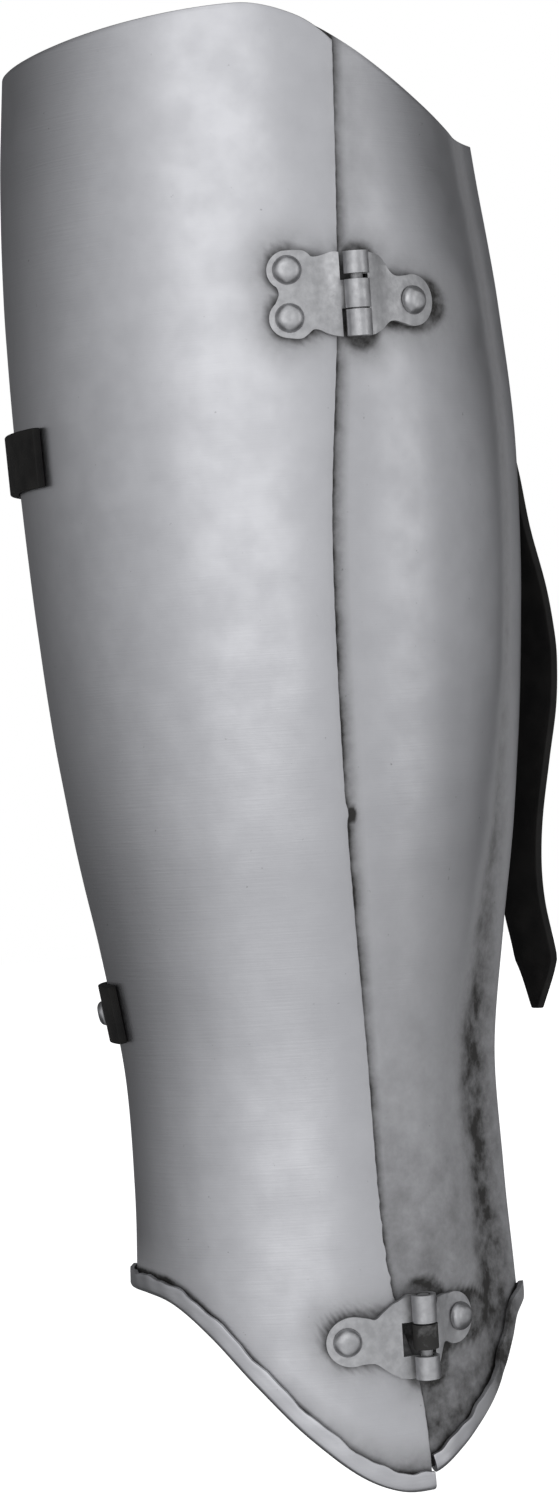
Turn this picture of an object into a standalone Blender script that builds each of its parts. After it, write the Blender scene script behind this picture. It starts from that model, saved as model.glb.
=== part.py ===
"""Greave of two steel plates, hinged on the outer side of the leg.

Metres, +Z up the leg, +X to the shin, -Y to the outer (hinge) side.
The origin is on the leg's axis, level with the lowest point of the foot rim.
"""
import math

import bmesh
import bpy
import numpy as np
from mathutils import Matrix, Vector

# Plates
HEIGHT = 0.395
FRONT_DEPTH = 0.0650
BACK_DEPTH = 0.0692
HALF_WIDTH = 0.058
RIDGE_HEIGHT = 0.005
RIDGE_HALF_WIDTH = 0.0105
RIDGE_ROUND_SHARE = 0.16
RIDGE_POWER = 1.5
SHEET = 0.0012
PLATE_GAP = 0.0004
SEAM_OVERLAP = 0.008
SEAM_FORWARD = 0.0267
SEAM_RUN_BACK = 0.0118
UNDER_SPAN_SHARE = 0.88

# Edges
FLAP_DROP = 0.0552
TOP_BACK_FALL = 0.008
TOP_FRONT_FALL = 0.034
TOP_FALL_POWER = 1.7
SHIN_RIM_RISE = 0.004
HEM_HEIGHT = 0.0045
HEM_RADIUS = 0.00095
HEM_END_GAP = 0.0012

# Hinges
PIN_FORWARD = 0.0249
PIN_RADIUS = 0.0016
PIN_CLEARANCE = 0.0003
KNUCKLE_GAP = 0.0004
KNUCKLE_CURL = math.radians(282)
SEAT_GAP = 0.0003
PIN_LIFT = 0.0010
LEAF = 0.0015
LEAF_KNUCKLE_CLEARANCE = 0.0006
UPPER_HINGE_HEIGHT = 0.3165
LOWER_HINGE_HEIGHT = 0.0414
UPPER_HINGE_LENGTH = 0.0220
LOWER_HINGE_LENGTH = 0.0228
UPPER_KNUCKLE = 0.0074
UPPER_PIN_SHOWN = 0.0015
LOBE_RADIUS = 0.0052
REAR_LEAF_REACH = 0.0188
REAR_LOBE_RISE = 0.0011
LOBE_SPREAD = 0.0063
FRONT_LEAF_REACH = 0.0172
FRONT_LOBE_DROP = 0.0019
FRONT_LOBE_RADIUS = 0.0069
LOWER_WINDOW = 0.0071
LOWER_REAR_REACH = 0.0202
LOWER_REAR_RISE = 0.0007
LOWER_REAR_RADIUS = 0.0066
LOWER_REAR_RIVET_SHIFT = 0.0013
LOWER_FRONT_REACH = 0.0102
LOWER_FRONT_RISE = 0.0026
LOWER_FRONT_RADIUS = 0.0069
LOWER_FRONT_RIVET_SHIFT = 0.0021
RIVET_RADIUS = 0.0039
RIVET_HEIGHT = 0.0024
LEAF_BEND_START = 0.003
LEAF_BEND_RUN = 0.006

# Leather
STRAP_WIDTH = 0.016
LEATHER = 0.0024
STRAP_POINT = 0.014
STRAP_TIP_SHARE = 0.18
STRAP_STAND = 0.0100
STRAP_CURVE_ROOM = 0.0002
STRAP_RIVET_INSET = 0.008
UPPER_STRAP_LENGTH = 0.184
LOWER_STRAP_LENGTH = 0.114
UPPER_STRAP_HEIGHT = 0.306
LOWER_STRAP_HEIGHT = 0.142
UPPER_STRAP_TURN = math.radians(22)
LOWER_STRAP_TURN = math.radians(42)
UPPER_TAB_HEIGHT = 0.2815
LOWER_TAB_HEIGHT = 0.1305
UPPER_TAB_START = math.radians(-150.4)
UPPER_TAB_END = math.radians(-236)
UPPER_TAB_RIVET = math.radians(-196)
LOWER_TAB_START = math.radians(-160)
LOWER_TAB_END = math.radians(-232)
LOWER_TAB_RIVET = math.radians(-179)
TAB_RIVET_RADIUS = 0.0034
TAB_RIVET_HEIGHT = 0.0017
BUCKLE_BAR = 0.0022
BUCKLE_LENGTH = 0.018
BUCKLE_SIDE_ROOM = 0.0012
TAB_CURL = math.radians(243)

# Fineness: small steps that directions are read over, and how many parts a curve is cut in
TURN_STEP = 0.004
RISE_STEP = 0.001
PLATE_COLUMNS = 28
PLATE_ROWS = 26
PLATE_ROUNDS = 8
HEM_BEND_STEPS = 4
LOBE_STEPS = 6
KNUCKLE_STEPS = 10
LEAF_FIRST_CUT = 0.005
LEAF_CUTS_AWAY = 7
LEAF_CUT_AWAY = 0.004
LEAF_CUTS_ALONG = 4
LEAF_CUT_ALONG = 0.006
PIN_SIDES = 14
RIVET_RINGS = 8
STRAP_STEPS = 26
TAB_STEPS = 12
TAB_CURL_STEPS = 9

# Leaf tables: away from the pin as a share of the leaf's reach, and along it as a
# share of half the hinge's length. Lobes are swept from one angle in degrees to another
UPPER_REAR_TAPER_SHARES = ((0.45, -0.95), (0.66, -0.74), (0.76, -0.89), (0.85, -1.00))
UPPER_REAR_NOTCH_SHARES = ((1.12, 0.10),)
UPPER_REAR_CROWN_SHARES = ((0.79, 1.13), (0.71, 1.04), (0.65, 0.91), (0.35, 1.05))
UPPER_REAR_LOW_SWEEP = (-82, 50)
UPPER_REAR_HIGH_SWEEP = (-58, 80)
UPPER_FRONT_TAPER_SHARES = ((0.30, -0.97), (0.41, -0.86), (0.51, -0.68), (0.61, -0.64))
UPPER_FRONT_CROWN_SHARES = ((0.67, 0.41), (0.56, 0.58), (0.49, 0.79), (0.41, 0.92))
UPPER_FRONT_SWEEP = (-115, 108)
LOWER_WINDOW_TOP_SHARE = 0.35
LOWER_WINDOW_FOOT_SHARE = -0.44
LOWER_REAR_FOOT_SHARE = -0.98
LOWER_REAR_TAPER_SHARES = ((0.41, -0.93), (0.56, -0.77), (0.71, -0.52), (0.79, -0.49))
LOWER_REAR_CROWN_SHARES = ((0.79, 0.56), (0.70, 0.49), (0.61, 0.64), (0.47, 0.81))
LOWER_REAR_SWEEP = (-108, 108)
LOWER_MIDDLE_TOP_SHARE = 0.31
LOWER_MIDDLE_FOOT_SHARE = -0.27
LOWER_FRONT_FOOT_SHARE = -0.78
LOWER_FRONT_TAPER_SHARES = ((0.47, -0.78), (0.59, -0.34), (0.65, -0.24))
LOWER_FRONT_CROWN_SHARES = ((0.68, 0.84), (0.52, 0.81))
LOWER_FRONT_SWEEP = (-106, 104)

# Strap tables: way down the strap, how far it stands out as a share of
# STRAP_STAND, and its twist in degrees
UPPER_STAND_SHARES = (
    (0.00, 0.00, 0), (0.09, 0.02, 0), (0.14, 0.16, 2), (0.19, 0.30, 5), (0.27, 0.48, 9), (0.36, 0.82, 13),
    (0.43, 0.98, 14), (0.47, 1.00, 14), (0.54, 0.88, 14), (0.62, 0.56, 14), (0.71, 0.22, 14),
    (0.78, 0.09, 14), (0.84, 0.13, 14), (0.93, 0.40, 14), (1.00, 0.34, 14),
)
LOWER_STAND_SHARES = (
    (0.00, 0.00, 0), (0.12, 0.00, 0), (0.30, 0.21, 2), (0.55, 0.29, 4), (0.80, 0.26, 4), (1.00, 0.34, 4),
)

# Section table: height, back depth, front depth, half width and ridge height,
# as shares of HEIGHT, BACK_DEPTH, FRONT_DEPTH, HALF_WIDTH and RIDGE_HEIGHT
SECTION_SHARES = (
    (-0.03, 0.750, 0.764, 0.698, 1.10),
    (0.05, 0.738, 0.756, 0.702, 1.08),
    (0.13, 0.728, 0.744, 0.706, 1.04),
    (0.21, 0.711, 0.727, 0.706, 1.00),
    (0.29, 0.722, 0.729, 0.722, 0.94),
    (0.37, 0.785, 0.804, 0.790, 0.86),
    (0.45, 0.862, 0.890, 0.880, 0.76),
    (0.54, 0.925, 0.958, 0.950, 0.68),
    (0.63, 0.964, 0.998, 0.990, 0.64),
    (0.72, 0.990, 1.008, 1.000, 0.60),
    (0.81, 1.000, 0.971, 0.993, 0.60),
    (0.90, 0.986, 0.905, 0.970, 0.66),
    (1.02, 0.930, 0.824, 0.925, 0.70),
)

# Seam table: height as a share of HEIGHT, and how far the calf plate's front
# edge lies behind SEAM_FORWARD, as a share of SEAM_RUN_BACK
SEAM_SHARES = (
    (-0.03, 0.00), (0.04, 0.06), (0.08, 0.22), (0.13, 0.62), (0.18, 0.80),
    (0.30, 0.88), (0.45, 1.00), (0.56, 0.99), (0.66, 0.88), (0.80, 0.46), (1.02, 0.12),
)

# Foot rim table: way from the back (0) to the seam (1) and the rim's height
# above the flap's lowest point, as shares of FLAP_DROP
CALF_RIM_SHARES = (
    (0.00, 1.00), (0.20, 1.00), (0.33, 0.95), (0.45, 0.80), (0.57, 0.56),
    (0.69, 0.31), (0.81, 0.11), (0.91, 0.02), (1.00, 0.01), (1.12, 0.04),
)
SHIN_RIM_SHARES = (
    (0.00, 0.735), (0.10, 0.655), (0.16, 0.545), (0.25, 0.425), (0.40, 0.320),
    (0.59, 0.210), (0.77, 0.105), (0.96, 0.015), (1.12, 0.005),
)


def smooth_value(rows, column, at):
    """Read a table column at a place, along one smooth curve through its rows."""
    last = len(rows) - 1
    k = 0
    while k < last - 1 and at > rows[k + 1][0]:
        k += 1

    def slope(row):
        low, high = max(0, row - 1), min(last, row + 1)
        return (rows[high][column] - rows[low][column]) / (rows[high][0] - rows[low][0])

    span = rows[k + 1][0] - rows[k][0]
    t = max(0.0, min(1.0, (at - rows[k][0]) / span))
    rise = (2 * t**3 - 3 * t**2 + 1) * rows[k][column] + (3 * t**2 - 2 * t**3) * rows[k + 1][column]
    lean = (t**3 - 2 * t**2 + t) * slope(k) + (t**3 - t**2) * slope(k + 1)
    return rise + span * lean


def section(z):
    """Back depth, front depth and half width of the leg form at a height."""
    share = z / HEIGHT
    return (
        BACK_DEPTH * smooth_value(SECTION_SHARES, 1, share),
        FRONT_DEPTH * smooth_value(SECTION_SHARES, 2, share),
        HALF_WIDTH * smooth_value(SECTION_SHARES, 3, share),
    )


def form_point(turn, z):
    """A point of the leg form. turn is the angle from the shin, + to the inner side."""
    back, front, width = section(z)
    depth = front if math.cos(turn) > 0.0 else back
    x = depth * math.cos(turn)
    y = width * math.sin(turn)
    if math.cos(turn) > 0.0:
        away = max(0.0, math.hypot(y / RIDGE_HALF_WIDTH, RIDGE_ROUND_SHARE) - RIDGE_ROUND_SHARE)
        ridge = RIDGE_HEIGHT * smooth_value(SECTION_SHARES, 4, z / HEIGHT)
        x += ridge * max(0.0, 1.0 - away) ** RIDGE_POWER
    return Vector((x, y, z))


def form_normal(turn, z):
    """The outward direction of the leg form."""
    along = form_point(turn + TURN_STEP, z) - form_point(turn - TURN_STEP, z)
    up = form_point(turn, z + RISE_STEP) - form_point(turn, z - RISE_STEP)
    return along.cross(up).normalized()


def on_form(turn, z, out):
    """A point at a distance outside the leg form."""
    return form_point(turn, z) + out * form_normal(turn, z)


def up_the_form(turn, z):
    """The direction up the form's wall at a point."""
    return (form_point(turn, z + RISE_STEP) - form_point(turn, z - RISE_STEP)).normalized()


def turn_at(x, z):
    """The outer side's turn angle where the form reaches x."""
    back, front, _ = section(z)
    depth = front if x > 0.0 else back
    return -math.acos(max(-1.0, min(1.0, x / depth)))


def seam_turn(z):
    """The turn angle of the calf plate's front edge on the outer side."""
    behind = SEAM_RUN_BACK * smooth_value(SEAM_SHARES, 1, z / HEIGHT)
    return turn_at(SEAM_FORWARD - behind, z)


def overlap_turn(z):
    """The turn angle that the plates overlap by."""
    return SEAM_OVERLAP / section(z)[2]


def top_height(turn):
    """The height of the plates' plain top edge."""
    fall = TOP_FRONT_FALL if math.cos(turn) > 0.0 else TOP_BACK_FALL
    return HEIGHT - fall * abs(math.cos(turn)) ** TOP_FALL_POWER


def calf_rim(turn):
    """The height of the calf plate's foot rim."""
    way = abs(math.pi - abs(turn)) / (math.pi - abs(seam_turn(0.0)))
    return FLAP_DROP * smooth_value(CALF_RIM_SHARES, 1, way)


def shin_rim(turn):
    """The height of the shin plate's foot rim."""
    way = abs(turn) / abs(seam_turn(0.0))
    return SHIN_RIM_RISE + FLAP_DROP * smooth_value(SHIN_RIM_SHARES, 1, way)


def material(name, colour, roughness, metallic):
    """A plain finish for a sub-part."""
    finish = bpy.data.materials.new(name)
    finish.use_nodes = True
    shader = finish.node_tree.nodes["Principled BSDF"]
    shader.inputs["Base Color"].default_value = (*colour, 1.0)
    shader.inputs["Roughness"].default_value = roughness
    shader.inputs["Metallic"].default_value = metallic
    return finish


def add_object(name, bm, finish):
    """Make one named object of a bmesh, its place in its mesh."""
    bmesh.ops.recalc_face_normals(bm, faces=bm.faces)
    mesh = bpy.data.meshes.new(name)
    bm.to_mesh(mesh)
    bm.free()
    mesh.shade_smooth()
    mesh.set_sharp_from_angle(angle=math.radians(40))
    mesh.materials.append(finish)
    piece = bpy.data.objects.new(name, mesh)
    bpy.context.scene.collection.objects.link(piece)
    return piece


for old in list(bpy.data.objects):
    bpy.data.objects.remove(old, do_unlink=True)

STEEL = material("steel", (0.56, 0.56, 0.57), 0.36, 1.0)
HINGE_STEEL = material("hinge_steel", (0.50, 0.50, 0.50), 0.34, 1.0)
BLACK_LEATHER = material("black_leather", (0.012, 0.011, 0.011), 0.55, 0.0)


# Plates: each is a grid laid on the leg form, its foot rim turned out and up as a hem

def hem_path():
    """Steps outward and upward from the foot rim to the hem's free edge."""
    steps = []
    for k in range(1, HEM_BEND_STEPS + 1):
        bend = math.pi * k / HEM_BEND_STEPS
        out = HEM_RADIUS * (1.0 - math.cos(bend))
        steps.append((out, -HEM_RADIUS * math.sin(bend)))
    steps.append((2 * HEM_RADIUS, HEM_HEIGHT - HEM_RADIUS))
    return steps


def rim_frame(turn, rim):
    """The point of the form on a foot rim, with its outward and its up-the-plate directions."""
    low, high = turn - TURN_STEP, turn + TURN_STEP
    along = form_point(high, rim(high)) - form_point(low, rim(low))
    normal = form_normal(turn, rim(turn))
    up = normal.cross(along).normalized()
    return normal, up if up.z > 0.0 else -up


def plate(name, stops, shares, rim, inset, hem):
    """One plate. stops(z) gives turn angles at shares of its width, inset its depth in the form."""
    bm = bmesh.new()
    bmesh.ops.create_grid(bm, x_segments=PLATE_COLUMNS, y_segments=PLATE_ROWS, size=0.5)
    rim_verts = {}
    for vert in bm.verts:
        across = vert.co.x + 0.5
        up = vert.co.y + 0.5
        z = 0.5 * HEIGHT
        for _ in range(PLATE_ROUNDS):
            turn = float(np.interp(across, shares, stops(z)))
            low = rim(turn) + HEM_RADIUS
            z = low + up * (top_height(turn) - low)
        vert.co = on_form(turn, z, -SHEET / 2 - inset(turn, z))
        if up < 0.001:
            rim_verts[vert] = (across, turn, vert.co.copy())
    low_edges = [
        edge
        for edge in bm.edges
        if all(v in rim_verts and hem[0] - 0.001 < rim_verts[v][0] < hem[1] + 0.001 for v in edge.verts)
    ]
    for out, rise in hem_path():
        sources = {tuple(vert.co): vert for edge in low_edges for vert in edge.verts}
        made = bmesh.ops.extrude_edge_only(bm, edges=low_edges)["geom"]
        new_verts = [item for item in made if isinstance(item, bmesh.types.BMVert)]
        low_edges = [
            item
            for item in made
            if isinstance(item, bmesh.types.BMEdge) and all(v in new_verts for v in item.verts)
        ]
        for vert in new_verts:
            rim_verts[vert] = rim_verts[sources[tuple(vert.co)]]
        for vert in new_verts:
            across, turn, foot = rim_verts[vert]
            normal, up = rim_frame(turn, rim)
            vert.co = foot + out * normal + rise * up
    shell = add_object(name, bm, STEEL)
    wall = shell.modifiers.new("wall", "SOLIDIFY")
    wall.thickness = SHEET
    wall.offset = 0.0
    wall.use_even_offset = True
    return shell


def calf_stops(z):
    """The calf plate runs from the outer seam, round the back, to under the inner seam."""
    seam = seam_turn(z)
    gap = HEM_END_GAP / section(z)[2]
    inner = -2 * math.pi - seam
    return seam, inner + gap, inner - overlap_turn(z)


def shin_stops(z):
    """The shin plate runs from under the outer seam, over the ridge, to the inner seam."""
    seam = seam_turn(z)
    gap = HEM_END_GAP / section(z)[2]
    return seam - overlap_turn(z), seam + gap, -seam


def shin_inset(turn, z):
    """The shin plate lies under the calf plate at the outer seam, and over it at the inner one."""
    way = max(-1.0, min(1.0, turn / (UNDER_SPAN_SHARE * seam_turn(z))))
    return (SHEET + PLATE_GAP) * math.sin(0.5 * math.pi * way)


def no_inset(turn, z):
    """The calf plate's outer face is the form itself."""
    return 0.0


UNDER_SHARE = 2.0 / PLATE_COLUMNS
HEMMED_SHARE = 1.0 - UNDER_SHARE

plate("calf_plate", calf_stops, (0.0, HEMMED_SHARE, 1.0), calf_rim, no_inset, (0.0, HEMMED_SHARE))
plate("shin_plate", shin_stops, (0.0, UNDER_SHARE, 1.0), shin_rim, shin_inset, (UNDER_SHARE, 1.0))


# Hinges: leaves bent over the plates, each knuckle curled round the pin

PIN_BORE = PIN_RADIUS + PIN_CLEARANCE
KNUCKLE_OUTER = PIN_BORE + LEAF


def over_pin_seat(z):
    """The pin's centre over the calf plate at a height."""
    return on_form(turn_at(PIN_FORWARD, z), z, PIN_LIFT + KNUCKLE_OUTER)


PIN_LOW = over_pin_seat(LOWER_HINGE_HEIGHT)
PIN_HIGH = over_pin_seat(UPPER_HINGE_HEIGHT)
PIN_AXIS = (PIN_HIGH - PIN_LOW).normalized()


def lobe(away, along, radius, sweep):
    """The round of a leaf's lobe, swept from one angle in degrees to another."""
    first, last = sweep
    shares = [k / LOBE_STEPS for k in range(LOBE_STEPS + 1)]
    angles = [math.radians(first + (last - first) * share) for share in shares]
    return [(away + radius * math.cos(a), along + radius * math.sin(a)) for a in angles]


def hinge_frame(at):
    """The outward and forward directions at a hinge's pin."""
    normal = form_normal(turn_at(at.x, at.z), at.z)
    normal = (normal - normal.dot(PIN_AXIS) * PIN_AXIS).normalized()
    return normal, PIN_AXIS.cross(normal)


def leaf_spot(at, side, away, along, rise, under):
    """A spot of a leaf: level with the knuckle at the pin, seated on its plate farther out."""
    normal, forward = hinge_frame(at)
    flat = at + side * away * forward + along * PIN_AXIS + (rise - KNUCKLE_OUTER) * normal
    start = turn_at(at.x, flat.z)
    width = (form_point(start + TURN_STEP, flat.z) - form_point(start, flat.z)).length / TURN_STEP
    turn = start + side * away / width
    seated = on_form(turn, flat.z, SEAT_GAP + rise - under(turn, flat.z))
    share = max(0.0, min(1.0, (away - LEAF_BEND_START) / LEAF_BEND_RUN))
    return flat.lerp(seated, share * share * (3.0 - 2.0 * share))


def leaf(name, at, side, outline, under):
    """One hinge leaf from its flat outline, rows of (away from the pin, along the pin)."""
    bm = bmesh.new()
    bm.faces.new([bm.verts.new((away, along, 0.0)) for away, along in outline])
    cuts = [((LEAF_FIRST_CUT + k * LEAF_CUT_AWAY, 0, 0), (1, 0, 0)) for k in range(LEAF_CUTS_AWAY)]
    middle = (LEAF_CUTS_ALONG - 1) / 2
    cuts += [((0, (k - middle) * LEAF_CUT_ALONG, 0), (0, 1, 0)) for k in range(LEAF_CUTS_ALONG)]
    for spot, across in cuts:
        sheet = list(bm.verts) + list(bm.edges) + list(bm.faces)
        bmesh.ops.bisect_plane(bm, geom=sheet, dist=1e-6, plane_co=spot, plane_no=across)
    bmesh.ops.triangulate(bm, faces=bm.faces)
    made = bmesh.ops.extrude_face_region(bm, geom=list(bm.faces), use_keep_orig=True)["geom"]
    for item in made:
        if isinstance(item, bmesh.types.BMVert):
            item.co.z = LEAF
    ends = [face for face in bm.faces if all(abs(v.co.x) < 1e-6 for v in face.verts)]
    for vert in bm.verts:
        away, along, rise = vert.co
        vert.co = leaf_spot(at, side, away, along, rise, under)
    bmesh.ops.spin(
        bm, geom=ends, cent=at, axis=PIN_AXIS, angle=side * KNUCKLE_CURL,
        steps=KNUCKLE_STEPS, use_merge=False,
    )
    for face in ends:
        if face.is_valid:
            bm.faces.remove(face)
    bmesh.ops.remove_doubles(bm, verts=bm.verts, dist=1e-6)
    return add_object(name, bm, HINGE_STEEL)


def dome(name, centre, normal, radius, height, finish):
    """A rivet's domed head, seated over a face."""
    bm = bmesh.new()
    bmesh.ops.create_uvsphere(bm, u_segments=PIN_SIDES, v_segments=RIVET_RINGS, radius=radius)
    whole = list(bm.verts) + list(bm.edges) + list(bm.faces)
    cut = bmesh.ops.bisect_plane(
        bm, geom=whole, dist=1e-7, plane_co=(0, 0, 0), plane_no=(0, 0, 1), clear_inner=True
    )
    rim = [item for item in cut["geom_cut"] if isinstance(item, bmesh.types.BMEdge)]
    bmesh.ops.edgeloop_fill(bm, edges=rim)
    bmesh.ops.scale(bm, vec=(1.0, 1.0, height / radius), verts=bm.verts)
    turn = Vector((0, 0, 1)).rotation_difference(normal).to_matrix().to_4x4()
    bmesh.ops.transform(bm, matrix=Matrix.Translation(centre) @ turn, verts=bm.verts)
    return add_object(name, bm, finish)


def leaf_rivet(name, at, side, away, along, under):
    """A rivet on a hinge leaf."""
    centre = leaf_spot(at, side, away, along, LEAF + SEAT_GAP, under)
    above = leaf_spot(at, side, away, along, LEAF + 2 * SEAT_GAP, under)
    return dome(name, centre, (above - centre).normalized(), RIVET_RADIUS, RIVET_HEIGHT, HINGE_STEEL)


def hinge_pin(name, at, low, high):
    """A hinge's pin, its ends flush with the outer knuckles."""
    bm = bmesh.new()
    turn = Vector((0, 0, 1)).rotation_difference(PIN_AXIS).to_matrix().to_4x4()
    middle = at + 0.5 * (low + high) * PIN_AXIS
    bmesh.ops.create_cone(
        bm, cap_ends=True, segments=PIN_SIDES, radius1=PIN_RADIUS, radius2=PIN_RADIUS,
        depth=high - low, matrix=Matrix.Translation(middle) @ turn,
    )
    return add_object(name, bm, HINGE_STEEL)


def tongue(away, low, high):
    """The strip of a leaf that reaches the pin, to be curled as a knuckle."""
    return [(away, high), (0.0, high), (0.0, low), (away, low)]


EDGE = KNUCKLE_OUTER + LEAF_KNUCKLE_CLEARANCE
HALF = UPPER_HINGE_LENGTH / 2
MIDDLE = UPPER_KNUCKLE / 2
REAR_LOW = REAR_LOBE_RISE - LOBE_SPREAD
REAR_HIGH = REAR_LOBE_RISE + LOBE_SPREAD


def outline_points(rows, reach, half):
    """Outline points from shares of a leaf's reach and of half its hinge's length."""
    return [(away * reach, along * half) for away, along in rows]


upper_rear = (
    tongue(EDGE, -MIDDLE, MIDDLE)
    + [(EDGE, -HALF)]
    + outline_points(UPPER_REAR_TAPER_SHARES, REAR_LEAF_REACH, HALF)
    + lobe(REAR_LEAF_REACH, REAR_LOW, LOBE_RADIUS, UPPER_REAR_LOW_SWEEP)
    + outline_points(UPPER_REAR_NOTCH_SHARES, REAR_LEAF_REACH, HALF)
    + lobe(REAR_LEAF_REACH, REAR_HIGH, LOBE_RADIUS, UPPER_REAR_HIGH_SWEEP)
    + outline_points(UPPER_REAR_CROWN_SHARES, REAR_LEAF_REACH, HALF)
    + [(EDGE, HALF)]
)
leaf("upper_hinge_rear_leaf", PIN_HIGH, -1, upper_rear, no_inset)
upper_front = (
    tongue(EDGE, MIDDLE + UPPER_PIN_SHOWN, HALF)
    + tongue(EDGE, -HALF, -MIDDLE - KNUCKLE_GAP)
    + outline_points(UPPER_FRONT_TAPER_SHARES, FRONT_LEAF_REACH, HALF)
    + lobe(FRONT_LEAF_REACH, -FRONT_LOBE_DROP, FRONT_LOBE_RADIUS, UPPER_FRONT_SWEEP)
    + outline_points(UPPER_FRONT_CROWN_SHARES, FRONT_LEAF_REACH, HALF)
)
leaf("upper_hinge_front_leaf", PIN_HIGH, 1, upper_front, shin_inset)
hinge_pin("upper_hinge_pin", PIN_HIGH, -HALF, HALF)
leaf_rivet("upper_hinge_rivet_1", PIN_HIGH, -1, REAR_LEAF_REACH, REAR_HIGH, no_inset)
leaf_rivet("upper_hinge_rivet_2", PIN_HIGH, -1, REAR_LEAF_REACH, REAR_LOW, no_inset)
leaf_rivet("upper_hinge_rivet_3", PIN_HIGH, 1, FRONT_LEAF_REACH, -FRONT_LOBE_DROP, shin_inset)

LOW_HALF = LOWER_HINGE_LENGTH / 2
WINDOW_TOP = LOWER_WINDOW_TOP_SHARE * LOW_HALF
WINDOW_FOOT = LOWER_WINDOW_FOOT_SHARE * LOW_HALF
REAR_FOOT = LOWER_REAR_FOOT_SHARE * LOW_HALF
lower_rear = (
    tongue(EDGE, WINDOW_TOP, LOW_HALF)
    + [(LOWER_WINDOW, WINDOW_TOP), (LOWER_WINDOW, WINDOW_FOOT)]
    + tongue(EDGE, REAR_FOOT, WINDOW_FOOT)
    + outline_points(LOWER_REAR_TAPER_SHARES, LOWER_REAR_REACH, LOW_HALF)
    + lobe(LOWER_REAR_REACH, LOWER_REAR_RISE, LOWER_REAR_RADIUS, LOWER_REAR_SWEEP)
    + outline_points(LOWER_REAR_CROWN_SHARES, LOWER_REAR_REACH, LOW_HALF)
)
leaf("lower_hinge_rear_leaf", PIN_LOW, -1, lower_rear, no_inset)
lower_front = (
    tongue(EDGE, LOWER_MIDDLE_FOOT_SHARE * LOW_HALF, LOWER_MIDDLE_TOP_SHARE * LOW_HALF)
    + [(EDGE, LOWER_FRONT_FOOT_SHARE * LOW_HALF)]
    + outline_points(LOWER_FRONT_TAPER_SHARES, LOWER_FRONT_REACH, LOW_HALF)
    + lobe(LOWER_FRONT_REACH, LOWER_FRONT_RISE, LOWER_FRONT_RADIUS, LOWER_FRONT_SWEEP)
    + outline_points(LOWER_FRONT_CROWN_SHARES, LOWER_FRONT_REACH, LOW_HALF)
)
leaf("lower_hinge_front_leaf", PIN_LOW, 1, lower_front, shin_inset)
hinge_pin("lower_hinge_pin", PIN_LOW, REAR_FOOT, LOW_HALF)
rear_rivet_away = LOWER_REAR_REACH + LOWER_REAR_RIVET_SHIFT
leaf_rivet("lower_hinge_rivet_1", PIN_LOW, -1, rear_rivet_away, LOWER_REAR_RISE, no_inset)
front_rivet_away = LOWER_FRONT_REACH + LOWER_FRONT_RIVET_SHIFT
leaf_rivet("lower_hinge_rivet_2", PIN_LOW, 1, front_rivet_away, LOWER_FRONT_RISE, shin_inset)


# Leather: each strap and tab is a strip swept along its middle line

def strip(name, middles, widths):
    """A leather strip. middles holds (point, width direction) rows, widths one width a row."""
    bm = bmesh.new()
    rows = len(middles)
    bmesh.ops.create_grid(bm, x_segments=2, y_segments=rows - 1, size=0.5)
    for vert in bm.verts:
        row = round((vert.co.y + 0.5) * (rows - 1))
        point, across = middles[row]
        vert.co = point + across * (vert.co.x * widths[row])
    piece = add_object(name, bm, BLACK_LEATHER)
    wall = piece.modifiers.new("wall", "SOLIDIFY")
    wall.thickness = LEATHER
    wall.offset = 0.0
    return piece


def hanging_strap(name, turn, top, length, stands):
    """A strap riveted by its top end to the shin plate, hanging free to a pointed tip."""
    rivet_at = top - STRAP_RIVET_INSET
    leave_at = top - 2 * STRAP_RIVET_INSET
    out = SEAT_GAP + LEATHER / 2 + STRAP_CURVE_ROOM - shin_inset(turn, leave_at)
    middles = []
    widths = []
    for k in range(STRAP_STEPS + 1):
        down = k / STRAP_STEPS
        z = top - length * down
        normal = form_normal(turn, max(z, leave_at))
        normal.z = 0.0
        normal.normalize()
        root = on_form(turn, max(z, leave_at), out)
        stand = STRAP_STAND * smooth_value(stands, 1, down)
        twist = math.radians(smooth_value(stands, 2, down))
        across = Matrix.Rotation(twist, 3, "Z") @ Vector((-normal.y, normal.x, 0.0))
        middles.append((Vector((root.x, root.y, z)) + stand * normal, across))
        left = length * (1.0 - down)
        share = STRAP_TIP_SHARE + (1.0 - STRAP_TIP_SHARE) * left / STRAP_POINT
        widths.append(STRAP_WIDTH * min(1.0, share))
    strip(name, middles, widths)
    normal = form_normal(turn, rivet_at)
    seat = on_form(turn, rivet_at, out + LEATHER / 2 + SEAT_GAP)
    dome(name + "_rivet", seat, normal, TAB_RIVET_RADIUS, TAB_RIVET_HEIGHT, HINGE_STEEL)


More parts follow.
